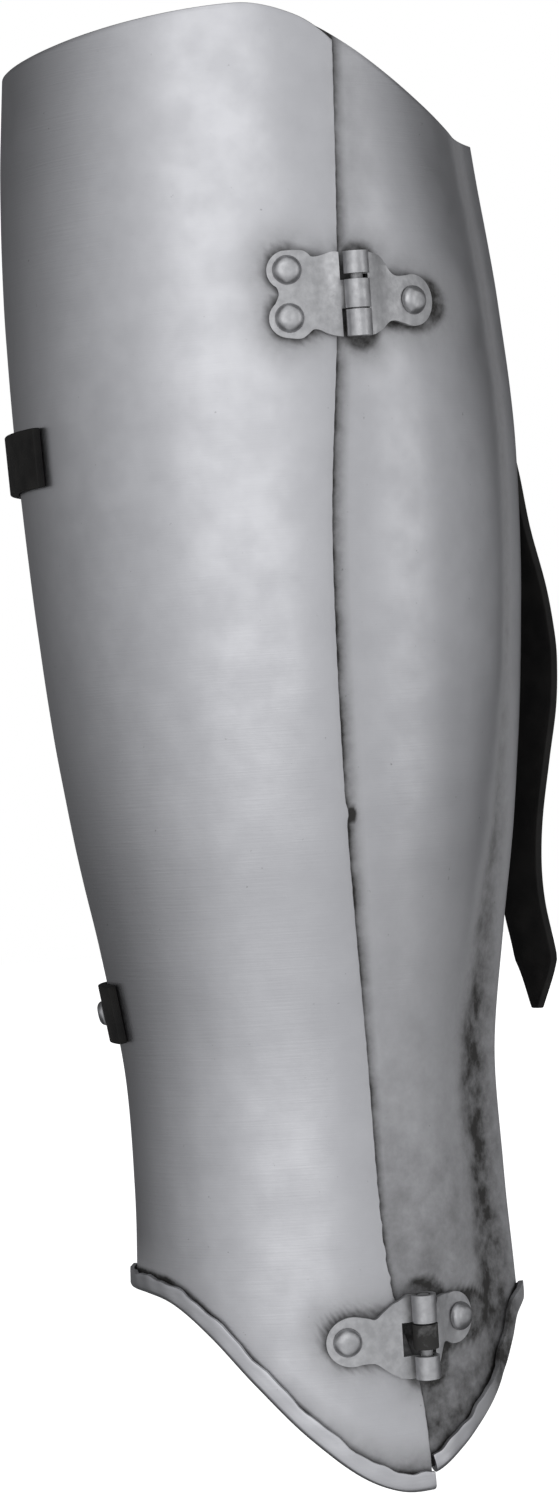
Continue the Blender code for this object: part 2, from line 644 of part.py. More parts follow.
def buckle_tab(name, z, first, last, rivet_turn):
    """A tab riveted to the calf plate, curled round a buckle's bar on the inner side."""
    out = SEAT_GAP + LEATHER / 2
    middles = []
    for k in range(TAB_STEPS + 1):
        turn = first + (last - first) * k / TAB_STEPS
        middles.append((on_form(turn, z, out), up_the_form(turn, z)))
    end = middles[-1][0]
    normal = form_normal(last, z)
    up = up_the_form(last, z)
    travel = normal.cross(up).normalized()
    if travel.dot(end - middles[-2][0]) < 0.0:
        travel.negate()
    curl = BUCKLE_BAR / 2 * math.sqrt(2.0) + SEAT_GAP + LEATHER / 2
    centre = end + curl * normal
    for k in range(1, TAB_CURL_STEPS + 1):
        angle = TAB_CURL * k / TAB_CURL_STEPS
        spot = centre + curl * (math.sin(angle) * travel - math.cos(angle) * normal)
        middles.append((spot, up))
    strip("%s_buckle_tab" % name, middles, [STRAP_WIDTH] * len(middles))
    seat = on_form(rivet_turn, z, 2 * SEAT_GAP + LEATHER)
    dome(
        "%s_tab_rivet" % name, seat, form_normal(rivet_turn, z),
        TAB_RIVET_RADIUS, TAB_RIVET_HEIGHT, HINGE_STEEL,
    )
    buckle("%s_buckle" % name, centre, travel, up, normal)


def buckle(name, bar, travel, up, normal):
    """A plain buckle in one piece: a flat frame with its prong between the two bars."""
    frame = Matrix((travel, up, normal)).transposed().to_4x4()
    place = Matrix.Translation(bar) @ frame
    height = STRAP_WIDTH + 2 * (BUCKLE_SIDE_ROOM + BUCKLE_BAR)
    bm = bmesh.new()
    size = Matrix.Diagonal((BUCKLE_LENGTH, height, BUCKLE_BAR, 1.0))
    shift = Matrix.Translation(((BUCKLE_LENGTH - BUCKLE_BAR) / 2, 0, 0))
    bmesh.ops.create_cube(bm, size=1.0, matrix=place @ shift @ size)
    piece = add_object(name, bm, HINGE_STEEL)
    window = BUCKLE_LENGTH - 2 * BUCKLE_BAR
    bm = bmesh.new()
    size = Matrix.Diagonal((window, STRAP_WIDTH + 2 * BUCKLE_SIDE_ROOM, 2 * BUCKLE_BAR, 1.0))
    bmesh.ops.create_cube(bm, size=1.0, matrix=place @ shift @ size)
    cutter = add_object(name + "_window", bm, HINGE_STEEL)
    cutter.hide_render = True
    cutter.display_type = "WIRE"
    cut = piece.modifiers.new("window", "BOOLEAN")
    cut.operation = "DIFFERENCE"
    cut.solver = "EXACT"
    cut.object = cutter
    return piece


hanging_strap("upper_strap", UPPER_STRAP_TURN, UPPER_STRAP_HEIGHT, UPPER_STRAP_LENGTH, UPPER_STAND_SHARES)
hanging_strap("lower_strap", LOWER_STRAP_TURN, LOWER_STRAP_HEIGHT, LOWER_STRAP_LENGTH, LOWER_STAND_SHARES)
buckle_tab("upper", UPPER_TAB_HEIGHT, UPPER_TAB_START, UPPER_TAB_END, UPPER_TAB_RIVET)
buckle_tab("lower", LOWER_TAB_HEIGHT, LOWER_TAB_START, LOWER_TAB_END, LOWER_TAB_RIVET)
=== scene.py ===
import math

import bmesh
import bpy
import numpy as np
from mathutils import Matrix, Vector


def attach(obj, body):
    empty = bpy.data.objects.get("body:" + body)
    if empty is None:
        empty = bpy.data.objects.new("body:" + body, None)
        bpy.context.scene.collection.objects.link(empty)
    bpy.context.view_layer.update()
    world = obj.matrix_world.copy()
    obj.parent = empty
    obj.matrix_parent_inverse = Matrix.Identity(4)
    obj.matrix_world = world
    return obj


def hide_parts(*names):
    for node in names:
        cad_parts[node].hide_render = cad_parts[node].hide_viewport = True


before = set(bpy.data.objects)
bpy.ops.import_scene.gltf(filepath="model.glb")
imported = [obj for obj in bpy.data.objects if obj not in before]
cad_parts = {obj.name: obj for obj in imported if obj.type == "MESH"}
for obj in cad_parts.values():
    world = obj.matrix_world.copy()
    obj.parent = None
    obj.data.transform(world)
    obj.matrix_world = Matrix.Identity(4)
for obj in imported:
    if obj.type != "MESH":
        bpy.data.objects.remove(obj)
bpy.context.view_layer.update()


# Studio: the camera looks level at the outer side, from the photograph's distance and with its
# slight roll. A broad soft box stands in front and a narrow one by the shin, in a dim room.
CAMERA_DISTANCE = 1.1
CAMERA_SIDE = -0.00165
CAMERA_HEIGHT = 0.1991
CAMERA_ROLL = math.radians(-3.76)
VIEW_HEIGHT = 0.4125
SENSOR = 36.0

camera = bpy.data.objects.new("camera", bpy.data.cameras.new("camera"))
bpy.context.scene.collection.objects.link(camera)
camera.data.sensor_width = SENSOR
camera.data.lens = SENSOR * CAMERA_DISTANCE / VIEW_HEIGHT
camera.data.clip_start = 0.01
camera.matrix_world = (
    Matrix.Translation((CAMERA_SIDE, -CAMERA_DISTANCE, CAMERA_HEIGHT))
    @ Matrix.Rotation(math.radians(90), 4, "X")
    @ Matrix.Rotation(CAMERA_ROLL, 4, "Z")
)
bpy.context.scene.camera = camera
bpy.context.scene.view_settings.view_transform = "Standard"


def soft_box(name, place, aim, width, height, power):
    """One rectangular studio light."""
    light = bpy.data.lights.new(name, "AREA")
    light.shape = "RECTANGLE"
    light.size = width
    light.size_y = height
    light.energy = power
    lamp = bpy.data.objects.new(name, light)
    lamp.location = place
    lamp.rotation_euler = (Vector(aim) - Vector(place)).to_track_quat("-Z", "Y").to_euler()
    bpy.context.scene.collection.objects.link(lamp)


LEG_MIDDLE = (0.0, 0.0, 0.20)
soft_box("key_box", place=(-0.30, -1.60, 0.50), aim=LEG_MIDDLE, width=1.3, height=1.5, power=2.9)
soft_box("shin_side_box", place=(1.35, -0.75, 0.45), aim=LEG_MIDDLE, width=0.5, height=1.6, power=1.0)

# The room's light by direction round the piece: degrees from the camera, + to the shin's side,
# and the light there. Away from the level the sides draw in, and the room is dimmer below.
ROOM_TINT = (0.97, 0.98, 1.0)
ROOM_DRAW_IN = 1.4
ROOM_STEEP = 0.6
ROOM_LOW = 0.70
ROOM_HIGH = 0.90
ROOM_LIGHT = (
    (-180, 0.12), (-150, 0.20), (-112, 0.44), (-86, 0.70), (-64, 0.95), (-46, 1.02), (-15, 1.02), (10, 1.00),
    (34, 0.97), (60, 0.92), (78, 0.76), (101, 0.66), (119, 0.58), (137, 0.38), (150, 0.09), (176, 0.16),
)
world = bpy.data.worlds.new("studio")
bpy.context.scene.world = world
world.use_nodes = True
room = world.node_tree.nodes
links = world.node_tree.links
way = room.new("ShaderNodeTexCoord")
split = room.new("ShaderNodeSeparateXYZ")
links.new(way.outputs["Generated"], split.inputs[0])


def room_math(kind, first, second):
    """A sum in the room's nodes, of sockets or numbers."""
    node = room.new("ShaderNodeMath")
    node.operation = kind
    for slot, value in enumerate((first, second)):
        if isinstance(value, (int, float)):
            node.inputs[slot].default_value = value
        else:
            links.new(value, node.inputs[slot])
    return node.outputs[0]


turned = room_math("ARCTAN2", split.outputs["X"], room_math("MULTIPLY", split.outputs["Y"], -1.0))
steep = room_math("MULTIPLY", room_math("ABSOLUTE", split.outputs["Z"], 0.0), ROOM_DRAW_IN)
turned = room_math("MULTIPLY", turned, room_math("ADD", steep, 1.0))
ramp = room.new("ShaderNodeValToRGB")
links.new(room_math("ADD", room_math("DIVIDE", turned, 2 * math.pi), 0.5), ramp.inputs[0])
for k, (degrees, level) in enumerate(ROOM_LIGHT):
    stop = ramp.color_ramp.elements[k] if k < 1 else ramp.color_ramp.elements.new(degrees / 360 + 0.5)
    stop.position = degrees / 360 + 0.5
    stop.color = (*(level * tint for tint in ROOM_TINT), 1.0)
while len(ramp.color_ramp.elements) > len(ROOM_LIGHT):
    ramp.color_ramp.elements.remove(ramp.color_ramp.elements[-1])
height = room.new("ShaderNodeMapRange")
limits = {"From Min": -ROOM_STEEP, "From Max": ROOM_STEEP, "To Min": ROOM_LOW, "To Max": ROOM_HIGH}
for slot, number in limits.items():
    height.inputs[slot].default_value = number
links.new(split.outputs["Z"], height.inputs["Value"])
dim = room["Background"]
links.new(ramp.outputs[0], dim.inputs["Color"])
links.new(height.outputs[0], dim.inputs["Strength"])
path = room.new("ShaderNodeLightPath")
white = room.new("ShaderNodeBackground")
white.inputs["Color"].default_value = (1.0, 1.0, 1.0, 1.0)
pick = room.new("ShaderNodeMixShader")
links.new(path.outputs["Is Camera Ray"], pick.inputs[0])
links.new(dim.outputs[0], pick.inputs[1])
links.new(white.outputs[0], pick.inputs[2])
links.new(pick.outputs[0], room["World Output"].inputs["Surface"])

FLOOR_DROP = 0.15
FLOOR_SIZE = 6.0
bm = bmesh.new()
drop = Matrix.Translation((0, 0, -FLOOR_DROP))
bmesh.ops.create_grid(bm, x_segments=1, y_segments=1, size=FLOOR_SIZE, matrix=drop)
floor = bpy.data.objects.new("floor", bpy.data.meshes.new("floor"))
bm.to_mesh(floor.data)
bm.free()
bpy.context.scene.collection.objects.link(floor)
pale = bpy.data.materials.new("pale_floor")
pale.use_nodes = True
shader = pale.node_tree.nodes["Principled BSDF"]
shader.inputs["Base Color"].default_value = (0.85, 0.85, 0.85, 1.0)
shader.inputs["Roughness"].default_value = 0.9
shader.inputs["Emission Color"].default_value = (1.0, 1.0, 1.0, 1.0)
shader.inputs["Emission Strength"].default_value = 0.9
floor.data.materials.append(pale)
floor.visible_glossy = False


# Leg form: both plates are hammered to this shape, oval at the calf and ankle, with a ridge down
# the shin. Its sections, seam and foot rim are the solids' own, as shares of the same sizes.
HEIGHT = 0.395
FRONT_DEPTH = 0.0650
BACK_DEPTH = 0.0692
HALF_WIDTH = 0.058
RIDGE_HEIGHT = 0.005
RIDGE_HALF_WIDTH = 0.0105
RIDGE_ROUNDING = 0.16
RIDGE_FALL = 1.5
TURN_STEP = 0.004
RISE_STEP = 0.001

# Height, back depth, front depth, half width and ridge height, as shares of the named sizes
SECTIONS = np.array((
    (-0.03, 0.750, 0.764, 0.698, 1.10), (0.05, 0.738, 0.756, 0.702, 1.08), (0.13, 0.728, 0.744, 0.706, 1.04),
    (0.21, 0.711, 0.727, 0.706, 1.00), (0.29, 0.722, 0.729, 0.722, 0.94), (0.37, 0.785, 0.804, 0.790, 0.86),
    (0.45, 0.862, 0.890, 0.880, 0.76), (0.54, 0.925, 0.958, 0.950, 0.68), (0.63, 0.964, 0.998, 0.990, 0.64),
    (0.72, 0.990, 1.008, 1.000, 0.60), (0.81, 1.000, 0.971, 0.993, 0.60), (0.90, 0.986, 0.905, 0.970, 0.66),
    (1.02, 0.930, 0.824, 0.925, 0.70),
))


def smooth_values(rows, column, at):
    """Read a table column at many places, along one smooth curve through its rows."""
    places, values = rows[:, 0], rows[:, column]
    slopes = np.empty(len(rows))
    slopes[1:-1] = (values[2:] - values[:-2]) / (places[2:] - places[:-2])
    slopes[0] = (values[1] - values[0]) / (places[1] - places[0])
    slopes[-1] = (values[-1] - values[-2]) / (places[-1] - places[-2])
    k = np.clip(np.searchsorted(places, at) - 1, 0, len(rows) - 2)
    span = places[k + 1] - places[k]
    t = np.clip((at - places[k]) / span, 0.0, 1.0)
    rise = (2 * t**3 - 3 * t**2 + 1) * values[k] + (3 * t**2 - 2 * t**3) * values[k + 1]
    lean = (t**3 - 2 * t**2 + t) * slopes[k] + (t**3 - t**2) * slopes[k + 1]
    return rise + span * lean


def form_points(turn, z):
    """Points of the leg form. turn is the angle from the shin, + to the inner side."""
    share = z / HEIGHT
    front = FRONT_DEPTH * smooth_values(SECTIONS, 2, share)
    back = BACK_DEPTH * smooth_values(SECTIONS, 1, share)
    width = HALF_WIDTH * smooth_values(SECTIONS, 3, share)
    ahead = np.cos(turn) > 0.0
    x = np.where(ahead, front, back) * np.cos(turn)
    y = width * np.sin(turn)
    away = np.maximum(0.0, np.hypot(y / RIDGE_HALF_WIDTH, RIDGE_ROUNDING) - RIDGE_ROUNDING)
    ridge = RIDGE_HEIGHT * smooth_values(SECTIONS, 4, share)
    x = x + np.where(ahead, ridge * np.maximum(0.0, 1.0 - away) ** RIDGE_FALL, 0.0)
    return np.stack((x, y, z), axis=-1)


def unit(vectors):
    """Vectors scaled to a length of one."""
    return vectors / np.linalg.norm(vectors, axis=-1, keepdims=True)


def form_normals(turn, z):
    """The outward directions of the leg form."""
    along = form_points(turn + TURN_STEP, z) - form_points(turn - TURN_STEP, z)
    up = form_points(turn, z + RISE_STEP) - form_points(turn, z - RISE_STEP)
    return unit(np.cross(along, up))


def on_form(turn, z, out):
    """Points at a distance outside the leg form."""
    turn, z, out = np.broadcast_arrays(turn, z, out)
    return form_points(turn, z) + out[..., None] * form_normals(turn, z)


def turn_at(x, z):
    """The outer side's turn angle where the form reaches x."""
    share = z / HEIGHT
    front = FRONT_DEPTH * smooth_values(SECTIONS, 2, share)
    back = BACK_DEPTH * smooth_values(SECTIONS, 1, share)
    return -np.arccos(np.clip(x / np.where(x > 0.0, front, back), -1.0, 1.0))


# Steel: satin sheet, brushed round the leg, with soft clouds, fine pits, and black grime left
# in the seams. Each piece's attribute says where grime lies, and where shade is painted in
# hollows, creases and round the hinges; noise mottles both.
GRIME_AND_SHADE_COLOUR = (0.022, 0.021, 0.020)
PIT_COLOUR = (0.05, 0.045, 0.042)


def steel(name, light, dark, grain_scale, brushed, rough):
    """A satin steel finish, darkened by the piece's attribute of grime and painted shade."""
    finish = bpy.data.materials.new(name)
    finish.use_nodes = True
    nodes, links = finish.node_tree.nodes, finish.node_tree.links
    shader = nodes["Principled BSDF"]
    place = nodes.new("ShaderNodeTexCoord")

    def noise(scale, detail, stretch=(1.0, 1.0, 1.0), roughness=0.55):
        mapping = nodes.new("ShaderNodeMapping")
        mapping.inputs["Scale"].default_value = stretch
        links.new(place.outputs["Object"], mapping.inputs["Vector"])
        texture = nodes.new("ShaderNodeTexNoise")
        texture.inputs["Scale"].default_value = scale
        texture.inputs["Detail"].default_value = detail
        texture.inputs["Roughness"].default_value = roughness
        links.new(mapping.outputs[0], texture.inputs["Vector"])
        return texture.outputs["Fac"]

    def to_range(value, low, high, new_low, new_high):
        node = nodes.new("ShaderNodeMapRange")
        for slot, number in zip(("From Min", "From Max", "To Min", "To Max"), (low, high, new_low, new_high)):
            node.inputs[slot].default_value = number
        links.new(value, node.inputs["Value"])
        return node.outputs["Result"]

    def sum_up(kind, first, second):
        node = nodes.new("ShaderNodeMath")
        node.operation = kind
        node.use_clamp = True
        for slot, value in enumerate((first, second)):
            if isinstance(value, float):
                node.inputs[slot].default_value = value
            else:
                links.new(value, node.inputs[slot])
        return node.outputs[0]

    def blend_colours(share, first, second):
        node = nodes.new("ShaderNodeMix")
        node.data_type = "RGBA"
        links.new(share, node.inputs["Factor"])
        for slot, colour in (("A", first), ("B", second)):
            socket = [s for s in node.inputs if s.name == slot and s.type == "RGBA"][0]
            if isinstance(colour, tuple):
                socket.default_value = (*colour, 1.0)
            else:
                links.new(colour, socket)
        return [s for s in node.outputs if s.type == "RGBA"][0]

    clouds = to_range(noise(11.0, 3.0), 0.30, 0.75, 0.0, 1.0)
    mottle = to_range(noise(grain_scale, 5.0), 0.36, 0.66, 0.0, 1.0)
    tone = sum_up("ADD", sum_up("MULTIPLY", clouds, 0.55), sum_up("MULTIPLY", mottle, 0.45))
    colour = blend_colours(tone, dark, light)
    pits = to_range(noise(520.0, 2.0), 0.74, 0.80, 0.0, 0.40)
    colour = blend_colours(pits, colour, PIT_COLOUR)
    # The attribute holds grime and painted shade alike; both darken the steel towards black.
    spots = nodes.new("ShaderNodeAttribute")
    spots.attribute_name = "grime_and_shade"
    ragged = to_range(noise(150.0, 6.0, roughness=0.62), 0.30, 0.72, 0.74, 1.24)
    grime_and_shade = sum_up("MULTIPLY", spots.outputs["Fac"], ragged)
    colour = blend_colours(grime_and_shade, colour, GRIME_AND_SHADE_COLOUR)
    links.new(colour, shader.inputs["Base Color"])
    links.new(to_range(grime_and_shade, 0.0, 1.0, 1.0, 0.25), shader.inputs["Metallic"])
    worn = to_range(mottle, 0.0, 1.0, rough + 0.05, rough - 0.03)
    links.new(sum_up("ADD", worn, sum_up("MULTIPLY", grime_and_shade, 0.35)), shader.inputs["Roughness"])
    brush = noise(1.0, 3.0, (60.0, 60.0, 2600.0) if brushed else (900.0, 900.0, 900.0))
    relief = sum_up("ADD", sum_up("MULTIPLY", brush, 0.5), sum_up("MULTIPLY", noise(240.0, 4.0), 0.5))
    bump = nodes.new("ShaderNodeBump")
    bump.inputs["Strength"].default_value = 0.22 if brushed else 0.5
    bump.inputs["Distance"].default_value = 0.00025
    links.new(relief, bump.inputs["Height"])
    links.new(bump.outputs[0], shader.inputs["Normal"])
    return finish


plate_steel = steel(
    "plate_steel", light=(0.61, 0.61, 0.63), dark=(0.54, 0.54, 0.56),
    grain_scale=95.0, brushed=True, rough=0.34,
)


# Plates: sheet of 1.2 mm, cut plain at the top, the foot rim turned outward and up as a hem.
# The calf plate lies over the shin plate at the hinges and under it at the inner side.
SHEET = 0.0012
PLATE_GAP = 0.0004
SEAM_OVERLAP = 0.008
SEAM_RUN_BACK = 0.0118
SEAM_FORWARD = 0.0267
FLAP_DROP = 0.0552
TOP_BACK_FALL = 0.008
TOP_FRONT_FALL = 0.034
TOP_FALL_POWER = 1.7
CORNER_FALL = 0.0027
CORNER_REACH = 0.011
SHIN_RIM_RISE = 0.004
HEM_HEIGHT = 0.0045
HEM_RADIUS = 0.00095
HEM_END_GAP = 0.0012
HEM_BEND_STEPS = 8
HEM_WAVE = 0.00028
HEM_RIPPLE = 0.00012
SEAM_WAVER = 0.00016
WAVER_HEIGHT = 0.062
WAVER_SPREAD = 0.016
BURR = 0.0006
BURR_HEIGHT = 0.1812
BURR_SPREAD = 0.0018
HAMMER_DEPTH = 0.00006
HAMMER_RIPPLE = 0.00002
INSET_EASE = 0.88
WORN_EDGE = 0.00045
EDGE_STEPS = 3
PLATE_EDGE_ANGLE = math.radians(50)
PLATE_ROWS = 250
PLATE_COLUMNS = 150
CALF_HEM_COLUMNS = 142
SHIN_BARE_COLUMNS = 10

# Height as a share of HEIGHT, and how far the seam lies behind SEAM_FORWARD as a share of
# SEAM_RUN_BACK. The rims go from the plate's middle (0) to the seam (1), as shares of FLAP_DROP.
SEAM = np.array((
    (-0.03, 0.00), (0.04, 0.06), (0.08, 0.22), (0.13, 0.62), (0.18, 0.80),
    (0.30, 0.88), (0.45, 1.00), (0.56, 0.99), (0.66, 0.88), (0.80, 0.46), (1.02, 0.12),
))
CALF_RIM = np.array((
    (0.00, 1.00), (0.20, 1.00), (0.33, 0.95), (0.45, 0.80), (0.57, 0.56),
    (0.69, 0.31), (0.81, 0.11), (0.91, 0.02), (1.00, 0.01), (1.12, 0.04),
))
SHIN_RIM = np.array((
    (0.00, 0.735), (0.10, 0.655), (0.16, 0.545), (0.25, 0.425), (0.40, 0.320),
    (0.59, 0.210), (0.77, 0.105), (0.96, 0.015), (1.12, 0.005),
))


def seam_turn(z):
    """The turn angle of the calf plate's front edge on the outer side."""
    behind = SEAM_RUN_BACK * smooth_values(SEAM, 1, z / HEIGHT)
    return turn_at(SEAM_FORWARD - behind, z)


def half_width(z):
    """The form's half width at a height."""
    return HALF_WIDTH * smooth_values(SECTIONS, 3, z / HEIGHT)


def top_height(turn):
    """The height of the plates' plain top edge."""
    fall = np.where(np.cos(turn) > 0.0, TOP_FRONT_FALL, TOP_BACK_FALL)
    return HEIGHT - fall * np.abs(np.cos(turn)) ** TOP_FALL_POWER


def calf_top(turn):
    """The calf plate's top edge, its corner at the outer seam filed round."""
    top = np.full_like(turn, HEIGHT)
    from_seam = (seam_turn(top) - turn) * half_width(top)
    return top_height(turn) - CORNER_FALL * np.clip(1.0 - from_seam / CORNER_REACH, 0.0, 1.0) ** 2


FLAP_TURN = float(seam_turn(np.array([0.0]))[0])


def calf_rim(turn):
    """The height of the calf plate's foot rim."""
    way = np.abs(math.pi - np.abs(turn)) / (math.pi - abs(FLAP_TURN))
    return FLAP_DROP * smooth_values(CALF_RIM, 1, way)


def shin_rim(turn):
    """The height of the shin plate's foot rim."""
    return SHIN_RIM_RISE + FLAP_DROP * smooth_values(SHIN_RIM, 1, np.abs(turn) / abs(FLAP_TURN))


def calf_stops(z):
    """The calf plate's outer edge, the end of its hem, and its edge under the inner seam."""
    seam = seam_turn(z)
    inner = -2 * math.pi - seam
    rough = np.exp(-(((z - WAVER_HEIGHT) / WAVER_SPREAD) ** 2)) + 0.25
    waver = SEAM_WAVER * rough * (np.sin(900.0 * z) + 0.7 * np.sin(2100.0 * z + 1.0))
    burr = BURR * np.exp(-(((z - BURR_HEIGHT) / BURR_SPREAD) ** 2))
    seam = seam + (waver + burr) / half_width(z)
    return seam, inner + HEM_END_GAP / half_width(z), inner - SEAM_OVERLAP / half_width(z)


def shin_stops(z):
    """The shin plate's edge under the outer seam, the start of its hem, and its inner edge."""
    seam = seam_turn(z)
    return seam - SEAM_OVERLAP / half_width(z), seam + HEM_END_GAP / half_width(z), -seam


def shin_inset(turn, z):
    """The shin plate lies under the calf plate at the outer seam, and over it at the inner one."""
    way = np.clip(turn / (INSET_EASE * seam_turn(z)), -1.0, 1.0)
    return (SHEET + PLATE_GAP) * np.sin(0.5 * math.pi * way)


def no_inset(turn, z):
    """The calf plate's outer face is the form itself."""
    return np.zeros_like(z)


def hammer_waves(turn, z):
    """The shallow unevenness that hammering left in the sheet."""
    first = np.sin(7.0 * turn + 61.0 * z) * np.sin(3.0 * turn - 97.0 * z + 1.3)
    second = np.sin(17.0 * turn - 143.0 * z + 0.4) * np.sin(11.0 * turn + 171.0 * z)
    return HAMMER_DEPTH * first + HAMMER_RIPPLE * second


def hem_path():
    """Steps outward and upward from the foot rim to the hem's free edge."""
    bends = math.pi * np.arange(1, HEM_BEND_STEPS + 1) / HEM_BEND_STEPS
    steps = [(HEM_RADIUS * (1 - math.cos(b)), -HEM_RADIUS * math.sin(b)) for b in bends]
    reach = HEM_HEIGHT - HEM_RADIUS
    return steps + [(2 * HEM_RADIUS, reach * share) for share in (0.33, 0.66, 1.0)]


def sheet_plate(name, knee, stops, rim, top, inset, hem, grime_and_shade):
    """A plate: a grid over its width and height, its foot edge extruded along the hem's path.

    The knee is the share of the columns between the first two stops, and hem is the stretch
    of the foot edge that is turned up.
    """
    bm = bmesh.new()
    bmesh.ops.create_grid(bm, x_segments=PLATE_COLUMNS, y_segments=PLATE_ROWS, size=0.5)
    across_of = bm.verts.layers.float.new("across")
    up_of = bm.verts.layers.float.new("up")
    step_of = bm.verts.layers.float.new("hem_step")
    for vert in bm.verts:
        vert[across_of] = vert.co.x + 0.5
        vert[up_of] = vert.co.y + 0.5
    edges = [
        edge
        for edge in bm.edges
        if all(v[up_of] < 1e-4 and hem[0] - 1e-4 < v[across_of] < hem[1] + 1e-4 for v in edge.verts)
    ]
    path = [(0.0, 0.0)] + hem_path()
    for step in range(1, len(path)):
        made = bmesh.ops.extrude_edge_only(bm, edges=edges)["geom"]
        fresh = {item for item in made if isinstance(item, bmesh.types.BMVert)}
        for vert in fresh:
            vert[step_of] = step
        lines = [item for item in made if isinstance(item, bmesh.types.BMEdge)]
        edges = [line for line in lines if all(v in fresh for v in line.verts)]
    across = np.array([v[across_of] for v in bm.verts])
    up = np.array([v[up_of] for v in bm.verts])
    step = np.array([v[step_of] for v in bm.verts]).round().astype(int)
    z = np.full(len(across), 0.5 * HEIGHT)
    for _ in range(8):
        limits = np.stack(stops(z))
        near = limits[0] + (limits[1] - limits[0]) * across / knee
        far = limits[1] + (limits[2] - limits[1]) * (across - knee) / (1.0 - knee)
        turn = np.where(across < knee, near, far)
        low = rim(turn) + HEM_RADIUS
        z = low + up * (top(turn) - low)
    foot = on_form(turn, z, -SHEET / 2 - inset(turn, z) + hammer_waves(turn, z))
    normal = form_normals(turn, rim(turn))
    line = form_points(turn + 0.02, rim(turn + 0.02)) - form_points(turn - 0.02, rim(turn - 0.02))
    upward = unit(np.cross(normal, line))
    upward *= np.sign(upward[:, 2:3])
    out, rise = np.array(path)[step].T
    uneven = np.sin(23.0 * turn + 1.0) + 0.6 * np.sin(51.0 * turn)
    turned_up = np.maximum(0, step - HEM_BEND_STEPS)
    rise = rise + HEM_WAVE * uneven * turned_up / 3.0
    out = out + HEM_RIPPLE * np.sin(37.0 * turn + 0.7) * (turned_up > 0)
    spots = foot + out[:, None] * normal + rise[:, None] * upward
    for vert, spot in zip(bm.verts, spots):
        vert.co = spot
    dark = bm.verts.layers.float.new("grime_and_shade")
    for vert, value in zip(bm.verts, grime_and_shade(turn, z, spots, step)):
        vert[dark] = float(value)
    bmesh.ops.recalc_face_normals(bm, faces=bm.faces)
    plate = bpy.data.objects.new(name, bpy.data.meshes.new(name))
    bm.to_mesh(plate.data)
    bm.free()
    bpy.context.scene.collection.objects.link(plate)
    plate.data.shade_smooth()
    plate.data.materials.append(plate_steel)
    wall = plate.modifiers.new("wall", "SOLIDIFY")
    wall.thickness = SHEET
    wall.offset = 0.0
    wall.use_even_offset = True
    edge = plate.modifiers.new("edge", "BEVEL")
    edge.width = WORN_EDGE
    edge.segments = EDGE_STEPS
    edge.limit_method = "ANGLE"
    edge.angle_limit = PLATE_EDGE_ANGLE
    return plate


def fall_off(distance, reach):
    """From 1 at no distance to 0 at the reach."""
    return np.clip(1.0 - distance / reach, 0.0, 1.0)


# Grime and painted shade go from 0, clean steel, to 1, black. The reaches are distances along
# the sheet.
UPPER_HINGE = np.array((0.0265, -0.0571, 0.3166))
LOWER_HINGE = np.array((0.0268, -0.0391, 0.0414))
HALO_SHADE = 0.90
HALO_SHADE_REACH = 0.0030
HALO_SMUDGE = 0.50
HALO_SMUDGE_REACH = 0.0120
CREASE_REACH = 0.0016
FULL_HEM_SHADE = 1.1
SEAM_LINE = 1.2
SEAM_LINE_REACH = 0.0016
SEAM_STRIPE = 0.78
SEAM_STRIPE_REACH = 0.0046
SEAM_SMUDGE = 0.14
SEAM_SMUDGE_REACH = 0.012
SEAM_TOP = 0.34
SEAM_TOP_REACH = 0.016
CALF_EDGE = 0.10
CALF_EDGE_REACH = 0.004
OVER_HEM = 0.20
OVER_HEM_AT_SEAM = 0.62
OVER_HEM_REACH = 0.010
FOOT_SHADE = 0.56
FOOT_BLACK = 0.28
LOWER_HALO = 1.05
BURR_BLACK = 1.5
HOLLOW_ASIDE = 0.0100
HOLLOW_SHADE = 0.50
HOLLOW_LOW_SHADE = 0.46

# The hinges' leaves as seen from the side, from their pins: start, end and half width of each arm
UPPER_LEAVES = (
    ((0.0, 0.0), (-0.0178, 0.0074), 0.0052), ((0.0, 0.0), (-0.0178, -0.0052), 0.0052),
    ((0.0, 0.0), (0.0155, -0.0019), 0.0066), ((0.0, -0.009), (0.0, 0.009), 0.0040),
)
LOWER_LEAVES = (
    ((0.0, 0.0), (-0.0200, 0.0007), 0.0064), ((0.0, 0.0), (0.0108, 0.0026), 0.0066),
    ((0.0, -0.009), (0.0, 0.009), 0.0050),
)


def hinge_shade_and_grime(spots, hinge, leaves):
    """Round a hinge: painted shade, black along the leaves' outline, and grime smudged farther out."""
    way = (spots - hinge)[:, (0, 2)]
    near = np.full(len(way), 1.0)
    for start, end, half in leaves:
        line = np.subtract(end, start)
        share = np.clip((way - start) @ line / (line @ line), 0.0, 1.0)
        near = np.minimum(near, np.linalg.norm(way - start - share[:, None] * line, axis=1) - half)
    # Painted shade: the black band hugging the leaves' outline, where they meet the plate.
    black = HALO_SHADE * np.clip(1.12 - near / HALO_SHADE_REACH, 0.0, 1.0)
    smudge = HALO_SMUDGE * np.clip(1.0 - near / HALO_SMUDGE_REACH, 0.0, 1.0) ** 1.5
    return np.maximum(black, smudge) * (spots[:, 1] < 0.0)


def rim_line(turn, z, rim, step):
    """Painted shade in the crease over the hem, and under its free edge."""
    height = z - rim(turn)
    above = np.maximum(0.0, height - HEM_HEIGHT)
    crease = FULL_HEM_SHADE * np.exp(-((above / CREASE_REACH) ** 2))
    below = FULL_HEM_SHADE * (height < HEM_HEIGHT)
    return np.maximum(crease, below) * (step == 0)


